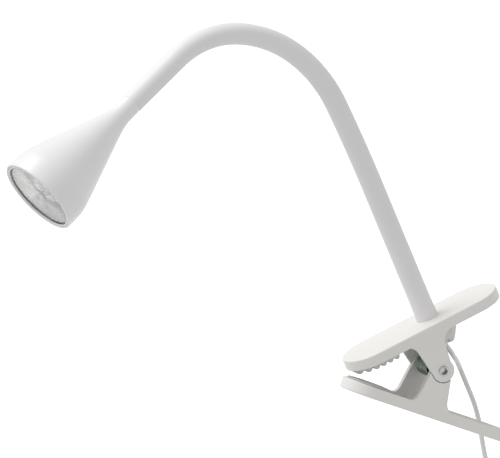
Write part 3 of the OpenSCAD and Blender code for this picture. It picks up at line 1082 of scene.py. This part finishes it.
@dataclass(frozen=True)
class Clamp:
    """The two jaws with their pads, pivot, spring and outlet.

    Attributes:
        pivot: The pivot's place.
        half_w: Half the plates' width.
        rest_tilt: Slope of the lower jaw in degrees.
        pad_l: Length of each pad.
        pad_half: Half the pads' width.
        wire_r: Radius of the spring wire.
        spring_r: Mean radius of the spring.
        spring_half: Half the spring's length.
        coil_pitch: Spacing of its turns.
        leg_x: Where its legs press, behind the pivot.
        foot_gap: How near they come to the plates.
        wall: Thickness of the plates' side walls.
        plate_t: Thickness of the plates' flat part.
        proud: How far the cheeks stand out from the side walls.
        upper_top: Height of the upper plate's top above the pivot.
        upper_rim: Height of its rim.
        lower_out: Depth of the lower plate's outer face below the pivot, square with it.
        lower_rim: Depth of its rim.
        box_half: Half the outlet box's width.
        box_wall: Thickness of the box's walls.
        box_front: Where the box and its lid start, behind the pivot.
        lid_back: Where the lid ends.
        lid_low: Height of the lid's lower face.
        lid_top: Height of its upper face.
        exit_x: Where the cord leaves, behind the pivot.
        corner: Radius of the cheeks' edges.
    """

    pivot: Triple = (0.039, 0.0, -0.0216)
    half_w: float = 0.0213
    rest_tilt: float = 44.0
    pad_l: float = 0.031
    pad_half: float = 0.0185
    wire_r: float = 0.0011
    spring_r: float = 0.0067
    spring_half: float = 0.013
    coil_pitch: float = 0.0029
    leg_x: float = 0.014
    foot_gap: float = 0.0001
    wall: float = 0.0022
    plate_t: float = 0.0024
    proud: float = 0.00005
    upper_top: float = 0.0336
    upper_rim: float = 0.0256
    lower_out: float = 0.0345
    lower_rim: float = 0.0265
    box_half: float = 0.0105
    box_wall: float = 0.0015
    box_front: float = 0.0012
    lid_back: float = 0.0179
    lid_low: float = 0.0128
    lid_top: float = 0.0148
    exit_x: float = 0.0141
    corner: float = 0.0005

    def upper_axes(self) -> Axes:
        """Axes at the pivot, square with the upper jaw."""
        return Axes(np.array(self.pivot), X, Y, Z)

    def lower_axes(self) -> Axes:
        """Axes at the pivot, square with the lower jaw."""
        tilt = math.radians(self.rest_tilt)
        along = np.array([math.cos(tilt), 0.0, -math.sin(tilt)])
        over = np.array([math.sin(tilt), 0.0, math.cos(tilt)])
        return Axes(np.array(self.pivot), along, Y, over)

    def flank(self, foot: float, root: float, rim: float, fillet: float) -> np.ndarray:
        """The hollow between a cheek's slanting side and the rim of its plate.

        It is an arc about a point a fillet out from the root and in from the rim, with the radius
        that just touches the side.

        Args:
            foot: Where the side's line meets the pivot's level.
            root: Where it meets the rim.
            rim: Distance of the rim from the pivot.
            fillet: Rough radius of the hollow.

        Returns:
            Points from the side to the rim.
        """
        way = math.copysign(1.0, root)
        lean = math.degrees(math.atan2(abs(root) - abs(foot), rim))
        centre = (way * (abs(root) + fillet), rim - fillet)
        level = abs(foot) + (abs(root) - abs(foot)) * centre[1] / rim
        radius = (abs(centre[0]) - level) * math.cos(math.radians(lean))
        side = arc((abs(centre[0]), centre[1]), radius, 180.0 - lean, 92.0, 16)
        return side * np.array([way, 1.0])

    def cheek_outline(self, end_r: float, rear_foot: float, front: float, rear: float, rim: float,
                      fillets: tuple[float, float], bulge: float) -> np.ndarray:
        """A cheek seen from its side, from its round end at the pivot to its root in the plate.

        Args:
            end_r: Radius of the round end.
            rear_foot: Where the rear side's line meets the pivot's level.
            front: Half width at the rim, towards the jaw tip.
            rear: The same towards the levers.
            rim: Distance of the rim from the pivot.
            fillets: Radii of the front and rear hollows.
            bulge: Degrees past level that the round end runs on the rear side.

        Returns:
            The outline, anticlockwise.
        """
        root = rim + 0.0068
        rear_side = self.flank(rear_foot, rear, rim, fillets[1])
        front_side = self.flank(-end_r, -front, rim, fillets[0])[::-1]
        top = [[rear_side[-1, 0], root], [front_side[0, 0], root]]
        round_end = arc((0.0, 0.0), end_r, 180.0, 360.0 + bulge, 40)
        return np.concatenate([round_end, rear_side, top, front_side])

    def pin_hole(self, axes: Axes) -> bpy.types.Object:
        """A rod the size of the rivet's hole, to be cut away."""
        radius, reach = 0.0032, 0.03
        return slab(round_outline(radius, 48), -reach, reach, 0.0, axes)

    def plate_hole(self, x: float, radius: float, low: float, high: float) -> bpy.types.Object:
        """A rod square with the upper plate, to be cut away.

        Args:
            x: Its place behind the pivot.
            radius: Its radius.
            low: Its lower end above the pivot.
            high: Its upper end.

        Returns:
            The rod.
        """
        axes = Axes(np.array(self.pivot) + x * X, X, Z, Y)
        return slab(round_outline(radius, 48), low, high, 0.0, axes)

    def upper_jaw(self) -> bpy.types.Object:
        """The upper jaw: a tray, two flush cheeks and the outlet box."""
        axes = self.upper_axes()
        front, back, stub_x, stub_hole = -0.058, 0.064, 0.0098, 0.005
        section = tray_section(self.upper_top, self.upper_rim, self.half_w, self.wall, self.plate_t)
        body = tray(front, back, self.half_w, section, axes)
        outline = self.cheek_outline(0.0082, 0.0072, 0.0129, 0.0094, self.upper_rim, (0.0075, 0.011), 24.0)
        inner, outer = self.half_w - self.wall, self.half_w + self.proud
        for low, high in ((-outer, -inner), (inner, outer)):
            carve(body, slab(outline, low, high, self.corner, axes), "UNION")
        carve(body, self.outlet_box(axes), "UNION")
        carve(body, self.pin_hole(axes), "DIFFERENCE")
        carve(body, self.plate_hole(stub_x, stub_hole, 0.029, 0.036), "DIFFERENCE")
        return shaped_piece("upper_jaw_shell", body, Slot.clamp_white, "upper_jaw")

    def outlet_box(self, axes: Axes) -> bpy.types.Object:
        """The hollow box under the upper plate, open below its lid and with its notch cut.

        Args:
            axes: The upper jaw's axes.

        Returns:
            The box as a working shape.
        """
        half, wall = self.box_half, self.box_wall
        box = slab(self.box_outline(0.0), -half, half, 0.0007, axes)
        carve(box, slab(self.box_outline(wall), wall - half, half - wall, 0.0004, axes), "DIFFERENCE")
        seat = self.box_rectangle(0.0, self.lid_back + self.proud, 0.0, self.lid_top)
        carve(box, slab(seat, -0.02, 0.02, 0.0, axes), "DIFFERENCE")
        carve(box, self.notch(axes), "DIFFERENCE")
        return box

    def box_rectangle(self, front: float, back: float, low: float, high: float) -> np.ndarray:
        """A rectangle seen from the clamp's side, anticlockwise."""
        return np.array([[front, low], [back, low], [back, high], [front, high]])

    def box_outline(self, inset: float) -> np.ndarray:
        """The outlet box seen from its side: a flat floor, a sloping corner and a rear wall.

        Args:
            inset: How far it is drawn in.

        Returns:
            The outline, anticlockwise.
        """
        front, low, top = self.box_front + inset, self.lid_low + inset, 0.0325
        return np.array([[front, low], [0.0184 - inset / 2, low],
                         [0.0201 - 0.8 * inset, 0.0145 + inset / 2], [0.0216 - inset, 0.0167 + inset / 3],
                         [0.0300 - 1.25 * inset, top], [front, top]])

    def notch(self, axes: Axes) -> bpy.types.Object:
        """The notch in the box's near lower edge, to be cut away."""
        outline = self.box_rectangle(0.0124, 0.0158, 0.010, 0.0154)
        return slab(outline, -0.0115, -0.009, 0.0, axes)

    def lid(self) -> bpy.types.Object:
        """The box's lid, with its cord hole and its notch."""
        axes = self.upper_axes()
        hole, edge = 0.00305, 0.0003
        outline = self.box_rectangle(self.box_front, self.lid_back, self.lid_low, self.lid_top)
        lid = slab(outline, -self.box_half, self.box_half, edge, axes)
        carve(lid, self.notch(axes), "DIFFERENCE")
        carve(lid, self.plate_hole(self.exit_x, hole, 0.010, 0.017), "DIFFERENCE")
        return shaped_piece("outlet_lid", lid, Slot.clamp_white, "outlet_cover")

    def lower_jaw(self) -> bpy.types.Object:
        """The lower jaw: a tray and two stepped cheeks that leave room for the upper jaw's."""
        axes = self.lower_axes()
        front, back, leaf_out, leaf_t, lap, room_r = -0.060, 0.076, 0.0184, 0.0024, 0.0003, 0.0088
        spare = 0.001
        section = tray_section(-self.lower_out, -self.lower_rim, self.half_w, self.wall, self.plate_t)
        body = tray(front, back, self.half_w, section, axes)
        outline = self.cheek_outline(0.0078, 0.006, 0.012, 0.0124, self.lower_rim, (0.0065, 0.009), 20.0)
        outline = outline[::-1] * np.array([1.0, -1.0])
        room = np.concatenate([[[-0.0141, 0.030]], arc((0.0, 0.0), room_r, 180.0, 353.0, 40),
                               [[0.020, -0.001], [0.020, 0.030]]])
        for side in (-1.0, 1.0):
            leaf = sorted((side * (leaf_out - leaf_t), side * leaf_out))
            flush = sorted((side * (leaf_out - lap), side * (self.half_w + self.proud)))
            carve(body, slab(outline, leaf[0], leaf[1], self.corner, axes), "UNION")
            cover = slab(outline, flush[0], flush[1], self.corner, axes)
            gap = slab(room, flush[0] - spare, flush[1] + spare, 0.0, self.upper_axes())
            carve(cover, gap, "DIFFERENCE")
            carve(body, cover, "UNION")
        carve(body, self.pin_hole(axes), "DIFFERENCE")
        return shaped_piece("lower_jaw_shell", body, Slot.clamp_white, "lower_jaw")

    def build(self) -> None:
        """Makes the clamp's pieces."""
        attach(self.upper_jaw(), "clamp")
        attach(self.lower_jaw(), "lower_clamp")
        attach(self.lid(), "clamp")
        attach(softened_piece("spring_sleeve", "spring_bush", 0.0004, Slot.bush_nylon), "clamp")
        for number in (1, 2):
            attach(self.lid_screw(number), "clamp")
        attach(self.grommet(), "clamp")
        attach(self.upper_pad(), "clamp")
        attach(self.lower_pad(), "lower_clamp")
        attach(self.rivet(), "clamp")
        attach(self.spring_turns(), "clamp")
        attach(self.spring_foot(), "lower_clamp")

    def pad_stations(self, count: int) -> np.ndarray:
        """Distances behind a pad's front, close together where it is round.

        Args:
            count: Number of even steps behind the round part.

        Returns:
            The distances.
        """
        round_part = self.pad_half * (1.0 - np.cos(np.linspace(0.0, 0.9, 30)))
        return np.concatenate([round_part, np.linspace(0.0071, self.pad_l, count)])

    def pad(self, front: float, under: np.ndarray, over: np.ndarray, stations: np.ndarray) -> np.ndarray:
        """A pad as rounded-box sections on stations from its round front to its square back.

        Args:
            front: Place of the front along the plate.
            under: Lower height at each station.
            over: Upper height at each station.
            stations: Distances behind the front.

        Returns:
            A grid of points in the jaw's axes.
        """
        short = np.clip(self.pad_half - stations, 0.0, None)
        half = np.sqrt(np.maximum(self.pad_half**2 - short**2, 0.0))
        around, squareness = 72, 0.15
        angle = 2.0 * np.pi * np.arange(around) / around
        across = half[:, None] * signed_power(np.cos(angle), squareness)[None]
        middle, reach = (over + under) / 2.0, (over - under) / 2.0
        height = middle[:, None] + reach[:, None] * signed_power(np.sin(angle), squareness)[None]
        along = np.broadcast_to((front + stations)[:, None], across.shape)
        rings = np.stack([along, across, height], axis=-1)
        back = np.broadcast_to([front + stations[-1], 0.0, middle[-1]], rings.shape[1:])
        return np.concatenate([rings, back[None]])

    def upper_pad(self) -> bpy.types.Object:
        """The ribbed pad: each rib is half an ellipse, h = v - v sqrt(1 - (t / w)^2)."""
        low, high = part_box("upper_grip_pad")
        front = low.x
        stations = self.pad_stations(170)
        place = front + stations
        pitch, first, valley, half_rib = 0.0054, -0.014, 0.0030, 0.0024
        nearest = np.abs((place - first + pitch / 2.0) % pitch - pitch / 2.0)
        rib = np.sqrt(np.clip(1.0 - (nearest / half_rib) ** 2, 0.0, 1.0))
        ends = smooth_step((stations - 0.0002) / 0.0012) * smooth_step((self.pad_l - stations) / 0.0010)
        under = valley - (valley - low.z) * rib * (0.55 + 0.45 * ends)
        over = np.full_like(under, high.z)
        points = self.pad(front, under, over, stations)
        return surface_piece("ribbed_pad", points, False, Slot.pad_light, ["upper_grip_pad"])

    def lower_pad(self) -> bpy.types.Object:
        """The plain pad, crowned a little along its length."""
        axes = self.lower_axes()
        front, base, top = -0.0572, -0.0321, -0.0249
        stations = self.pad_stations(60)
        share = stations / self.pad_l
        over = top - 0.0003 * (2.0 * share - 1.0) ** 2 - 0.0005 * (1.0 - smooth_step(stations / 0.002))
        under = np.full_like(over, base)
        points = axes.place(self.pad(front, under, over, stations))
        return surface_piece("plain_pad", points, False, Slot.pad_grey, ["lower_grip_pad"])

    def rivet(self) -> bpy.types.Object:
        """The tubular rivet: a shank between two rolled lips, with a deep bore in each end."""
        shank, bore, lip, lip_r, floor = 0.00312, 0.00225, 0.02145, 0.00066, 0.0190
        rolled = arc((0.0030, lip), lip_r, -60.0, 170.0, 14)
        half = np.concatenate([[[shank, 0.0], [shank, self.half_w - 0.0006]], rolled,
                               [[bore, lip - 0.0004], [bore, floor], [0.0, floor]]])
        other = half[::-1] * np.array([1.0, -1.0])
        axes = Axes(np.array(self.pivot), Z, X, Y)
        return surface_piece("hollow_rivet", turned(np.concatenate([other, half[1:]]), axes, 64), False,
                             Slot.rivet_steel, ["pivot_pin"])

    def lid_screw(self, number: int) -> bpy.types.Object:
        """One lid screw: a domed head with a socket, over a plain shank.

        Args:
            number: 1 or 2.

        Returns:
            The screw.
        """
        low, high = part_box(f"cover_screw_{number}")
        head, shank, bowl, under = (high.x - low.x) / 2.0, 0.00085, 0.0007, 0.0012
        length = high.z - low.z
        middle = np.array([(low.x + high.x) / 2.0, (low.y + high.y) / 2.0, low.z])
        dome = arc((head - 0.0006, 0.0006), 0.0006, -90.0, 0.0, 6)
        profile = np.concatenate([[[0.0, bowl], [0.0006, bowl], [0.0008, 0.00005]], dome,
                                  [[head, under], [shank, under], [shank, length], [0.0, length]]])
        return surface_piece(f"lid_screw_{number}", turned(profile, Axes(middle, X, Y, Z), 40), False,
                             Slot.fixing_steel, [f"cover_screw_{number}"])

    def grommet(self) -> bpy.types.Object:
        """The soft ring where the cord leaves the box: a flange with a round lip over a plain sleeve."""
        low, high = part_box("cord_grommet")
        flange, sleeve, bore = (high.x - low.x) / 2.0, 0.0030, 0.0026
        middle = np.array([(low.x + high.x) / 2.0, (low.y + high.y) / 2.0, low.z])
        edge = arc((flange - 0.0004, 0.0004), 0.0004, -90.0, 90.0, 8)
        profile = np.concatenate([[[bore, high.z - low.z], [bore, 0.0004], [bore + 0.0003, 0.0]], edge,
                                  [[sleeve, 0.0008], [sleeve, high.z - low.z]]])
        return surface_piece("cord_bush", turned(profile, Axes(middle, X, Y, Z), 48), True,
                             Slot.grommet, ["cord_grommet"])

    def leg_angle(self, x: float, z: float) -> float:
        """The angle round the spring at which a straight leg to (x, z) leaves it."""
        return math.atan2(z, x) + math.acos(self.spring_r / math.hypot(x, z))

    def helix(self, angle: np.ndarray, across: np.ndarray) -> np.ndarray:
        """Points of the spring: (R cos a, y, R sin a)."""
        return np.stack([self.spring_r * np.cos(angle), across, self.spring_r * np.sin(angle)], axis=1)

    def wire(self, name: str, turns: np.ndarray, foot: Sequence[float], axes: Axes,
             node: str) -> bpy.types.Object:
        """A stretch of spring wire: its turns, then a straight leg.

        Args:
            name: The piece's name.
            turns: Points of its turns.
            foot: Where its leg ends.
            axes: The jaw's axes.
            node: The CAD node it stands for.

        Returns:
            The wire.
        """
        leg = np.linspace(turns[-1], np.array(foot), 10)[1:]
        path = axes.place(np.concatenate([turns, leg]))
        return surface_piece(name, swept(path, round_outline(self.wire_r, 14), Y), False,
                             Slot.spring_steel, [node])

    def spring_turns(self) -> bpy.types.Object:
        """The spring's turns with the leg that presses the upper plate."""
        foot = [self.leg_x, self.spring_half, self.upper_top - self.plate_t - self.wire_r - self.foot_gap]
        count = math.floor(2.0 * self.spring_half / self.coil_pitch) - 1
        t = np.linspace(0.0, 1.0, count * 40 + 1)
        start = self.spring_half - self.coil_pitch * count
        angle = self.leg_angle(foot[0], foot[2]) + 2.0 * np.pi * count * (1.0 - t)
        turns = self.helix(angle, start + self.coil_pitch * count * t)
        return self.wire("spring_turns", turns, foot, self.upper_axes(), "spring_coil")

    def spring_foot(self) -> bpy.types.Object:
        """The spring's last part turn with the leg that presses the lower plate."""
        foot = [self.leg_x, -self.spring_half, self.plate_t + self.wire_r + self.foot_gap - self.lower_out]
        t = np.linspace(0.8, 0.0, 33)
        angle = -self.leg_angle(foot[0], -foot[2]) - 2.0 * np.pi * t
        turns = self.helix(angle, self.coil_pitch * t - self.spring_half)
        return self.wire("spring_foot", turns, foot, self.lower_axes(), "spring_leg")


@dataclass(frozen=True)
class Neck:
    """The flexible neck: links of steady bend, under a smooth skin.

    Attributes:
        foot: Where it stands on the upper plate.
        plane: Direction that it leans in, degrees round +Z.
        lengths: Length of each link.
        bends: Bend of each link in degrees.
        radius: Radius of the skin.
        bore: Radius of its inside.
        flare: How much wider it is at the foot.
    """

    foot: Triple = (0.0488, 0.0, 0.012)
    plane: float = 190.0
    lengths: tuple[float, ...] = (0.045, 0.055, 0.068, 0.050, 0.050, 0.050, 0.046)
    bends: tuple[float, ...] = (0.0, 0.0, 3.0, 28.0, 32.0, 42.0, 0.0)
    radius: float = 0.00765
    bore: float = 0.0069
    flare: float = 0.0003

    @property
    def starts(self) -> np.ndarray:
        """Distance along the neck to each link's start, and to its end."""
        return np.concatenate([[0.0], np.cumsum(self.lengths)])

    def centreline(self, s: np.ndarray) -> tuple[np.ndarray, np.ndarray, np.ndarray]:
        """The neck's middle at distances along it.

        A stretch l of a bend with rate k from angle a has the chord l sin(h) / h, with h = k l / 2,
        in the direction a + h.

        Args:
            s: Distances from the foot.

        Returns:
            Points, tangents and inward normals, each by 3.
        """
        lengths = np.array(self.lengths)
        bends = np.radians(self.bends)
        lean = math.radians(self.plane)
        out = np.array([math.cos(lean), math.sin(lean), 0.0])
        angles = np.concatenate([[0.0], np.cumsum(bends)])

        def chord(link: np.ndarray, run: np.ndarray) -> np.ndarray:
            """The step made along a stretch of a link."""
            half = bends[link] / lengths[link] * run / 2.0
            reach = (run * np.sinc(half / np.pi))[:, None]
            way = (angles[link] + half)[:, None]
            return reach * (np.sin(way) * out + np.cos(way) * Z)

        links = np.arange(len(lengths))
        corners = np.concatenate([[np.zeros(3)], np.cumsum(chord(links, lengths), axis=0)])
        link = np.clip(np.searchsorted(self.starts, s, side="right") - 1, 0, len(lengths) - 1)
        run = s - self.starts[link]
        turn = (angles[link] + bends[link] / lengths[link] * run)[:, None]
        points = np.array(self.foot) + corners[link] + chord(link, run)
        return points, np.sin(turn) * out + np.cos(turn) * Z, np.cos(turn) * out - np.sin(turn) * Z

    def point(self, s: float) -> np.ndarray:
        """One point of the centreline."""
        return self.centreline(np.array([s]))[0][0]

    def head_axes(self) -> Axes:
        """Axes at the neck's end, with the head's axis as z."""
        points, tangents, normals = self.centreline(self.starts[-1:])
        return Axes(points[0], normals[0], np.cross(tangents[0], normals[0]), tangents[0])

    def skin(self, joint: int) -> bpy.types.Object:
        """The skin over one joint, from the middle of the link before it to the middle of the next.

        Its outer wall has the radius r + flare exp(-s / 12 mm), and it rounds over at a free end.

        Args:
            joint: Number of the joint, from 1.

        Returns:
            The skin.
        """
        last = len(self.lengths) - 1
        begin = 0.0 if joint == 1 else self.starts[joint - 1] + self.lengths[joint - 1] / 2.0
        end = self.starts[-1] if joint == last else self.starts[joint] + self.lengths[joint] / 2.0
        s = np.linspace(begin, end, int((end - begin) / 0.0014) + 1)
        radius = self.radius + self.flare * np.exp(-s / 0.012)
        edge = 0.0004
        if joint == last:
            drop = np.clip(s - (end - edge), 0.0, edge)
            radius -= edge - np.sqrt(edge**2 - drop**2)
        points, _, normals = self.centreline(np.concatenate([s, s[::-1]]))
        radii = np.concatenate([radius, np.full(len(s), self.bore)])
        lean = math.radians(self.plane)
        across = np.array([-math.sin(lean), math.cos(lean), 0.0])
        angle = 2.0 * np.pi * np.arange(48) / 48
        ring = np.cos(angle)[None, :, None] * normals[:, None] + np.sin(angle)[None, :, None] * across
        grid = points[:, None] + radii[:, None, None] * ring
        covered = [f"neck_sleeve_{joint}"] + (["neck_sleeve_0"] if joint == 1 else [])
        return surface_piece(f"neck_skin_{joint}", grid, True, Slot.neck_skin, covered)

    def build(self) -> None:
        """Makes the skins, one across each joint."""
        for joint in range(1, len(self.lengths)):
            piece = self.skin(joint)
            here = self.starts[joint]
            self.point(here - 0.4 * self.lengths[joint - 1])
            self.point(here + 0.4 * self.lengths[joint])
            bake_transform(piece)


@dataclass(frozen=True)
class Head:
    """The conical shade with its lens, ring, reflector and light source.

    Attributes:
        axes: Axes at the seam with the neck, z along the head.
        length: From the seam to the rim.
        band_r: Radius of the front band.
        wall: Thickness of the shade.
        collar_r: Radius at the seam.
        slope: Slope of the cone.
        cone_start: Where the collar flows into the cone.
        cone_blend: Length over which it does.
        lens_s: Place of the lens's face.
        board_s: Place of the board.
    """

    axes: Axes
    length: float = 0.0955
    band_r: float = 0.0294
    wall: float = 0.0017
    collar_r: float = 0.0074
    slope: float = 0.332
    cone_start: float = 0.0142
    cone_blend: float = 0.003
    lens_s: float = 0.0943
    board_s: float = 0.066

    def outer(self, s: np.ndarray) -> np.ndarray:
        """The shade's radius: a soft-cornered lesser of the flared cone and the band.

        The cone is c + m w ln(1 + exp((s - s0) / w)), and the lesser of a and b is
        -v ln(exp(-a / v) + exp(-b / v)).

        Args:
            s: Distances from the seam.

        Returns:
            Radii.
        """
        flare = self.cone_blend * np.logaddexp(0.0, (s - self.cone_start) / self.cone_blend)
        cone = self.collar_r + self.slope * flare
        corner = 0.0007
        return -corner * np.logaddexp(-cone / corner, -self.band_r / corner)

    @property
    def lens_r(self) -> float:
        """Radius of the lens and its ring, just inside the shade."""
        return self.band_r - self.wall - 0.00015

    def add(self, name: str, profile: np.ndarray, wrap: bool, slot: Slot, node: str,
            flutes: int = 0, depth: float = 0.0) -> None:
        """Turns one piece about the head's axis and lets it ride on the head.

        Args:
            name: The piece's name.
            profile: Radius and distance from the seam of each point.
            wrap: Whether the profile closes on itself.
            slot: Its finish.
            node: The CAD node it stands for.
            flutes: Hollows round the axis.
            depth: Their depth, as a share of the radius.
        """
        points = turned(profile, self.axes, 144, flutes, depth)
        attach(surface_piece(name, points, wrap, slot, [node]), "head")

    def build(self) -> None:
        """Makes the head's pieces."""
        self.shade()
        self.ring()
        self.lens()
        self.reflector()
        self.source()

    def shade(self) -> None:
        """The shade: its outer curve, a round rim and an even wall."""
        rim = self.wall / 2.0
        s = np.linspace(0.0, self.length - rim, 150)
        outside = np.stack([self.outer(s), s], axis=1)
        outside[0, 0] -= 0.0003
        edge = arc((self.outer(s[-1:])[0] - rim, self.length - rim), rim, 0.0, 180.0, 12)
        inside = np.stack([self.outer(s) - self.wall, s], axis=1)[::-1]
        profile = np.concatenate([outside, edge[1:-1], inside])
        self.add("shade_shell", profile, True, Slot.shade_white, "shade")

    def ring(self) -> None:
        """The ring that holds the lens, with a rolled inner edge."""
        wide, tall, corner = 0.0014, 0.0009, 0.0004
        low, inner = self.lens_s, self.lens_r - wide
        rolled = arc((inner + corner, low + tall - corner), corner, 180.0, 90.0, 6)
        outer = arc((self.lens_r - corner, low + tall - corner), corner, 90.0, 0.0, 6)
        profile = np.concatenate([[[inner, low]], rolled, outer, [[self.lens_r, low]]])
        self.add("lens_ring", profile, True, Slot.shade_white, "bezel")

    def lens(self) -> None:
        """The lens: a faint crown in front and stepped rings behind."""
        radius = np.linspace(0.0, self.lens_r - 0.0003, 60)
        share = radius / self.lens_r
        crown = self.lens_s - 0.0004 * share**2
        teeth = self.lens_s - 0.0020 + 0.00010 * ((share * 12.0) % 1.0) * (share > 0.2)
        face, back = np.stack([radius, crown], axis=1), np.stack([radius, teeth], axis=1)
        profile = np.concatenate([face, back[::-1]])
        self.add("front_lens", profile, False, Slot.lens_clear, "lens")

    def reflector(self) -> None:
        """The reflector: a fluted bowl, r = a + (b - a) t + c sin(pi t), with an even wall and a flange."""
        t = np.linspace(0.0, 1.0, 50)
        low, high = self.board_s + 0.0034, self.lens_s - 0.0022
        bowl = 0.0066 + (self.lens_r - 0.0012 - 0.0066) * t + 0.0014 * np.sin(np.pi * t)
        height = low + (high - low) * t
        back = np.stack([bowl + 0.0008, height], axis=1)[:-4][::-1]
        lip = [[self.lens_r, high], [self.lens_r, high - 0.0010]]
        profile = np.concatenate([np.stack([bowl, height], axis=1), lip, back])
        self.add("reflector_bowl", profile, True, Slot.reflector, "reflector", 30, 0.012)

    def source(self) -> None:
        """The light source: a square-shouldered base with a soft dome of phosphor."""
        low = self.board_s + 0.0016
        dome = arc((0.0, 0.0), 1.0, 60.0, 90.0, 12)
        top = np.stack([dome[:, 0] * 0.0068, low + 0.0008 + (dome[:, 1] - dome[0, 1]) * 0.006], axis=1)
        profile = np.concatenate([[[0.0, low], [0.0050, low], [0.0050, low + 0.0008]], top])
        self.add("light_source", profile, False, Slot.led_yellow, "led_chip")


def dress_hidden_nodes(frame: dict[str, Any]) -> None:
    """Gives every CAD node that still shows its finish.

    Args:
        frame: The loaded frame.
    """
    finishes = {
        Slot.fixing_steel: ["neck_stub", "neck_washer", "neck_nut", "board_screw_1", "board_screw_2",
                            "rocker_axle"],
        Slot.connector: ["wire_joint"],
        Slot.core_steel: [f"neck_core_{i}" for i in range(len(Neck.lengths))],
        Slot.sink_aluminium: ["heat_sink"],
        Slot.board: ["led_board"],
    }
    for slot, names in finishes.items():
        for name in names:
            frame["nodes"][name].data.materials.clear()
            frame["nodes"][name].data.materials.append(slot.material())


def as_lists(box: Sequence[Sequence[float]]) -> list[list[float]]:
    """A box's corners as plain lists of numbers."""
    return [[float(value) for value in corner] for corner in box]


def main() -> None:
    """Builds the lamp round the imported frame."""
    logging.basicConfig(level=logging.INFO, format="%(name)s: %(message)s")
    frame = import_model()
    cad_box = as_lists(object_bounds())
    studio = Studio()
    studio.add_camera()
    Lead().build()
    Clamp().build()
    neck = Neck()
    neck.build()
    Head(neck.head_axes()).build()
    dress_hidden_nodes(frame)
    studio.light()
    studio.add_floor(cad_box[0][2])


if __name__ == "__main__":
    main()
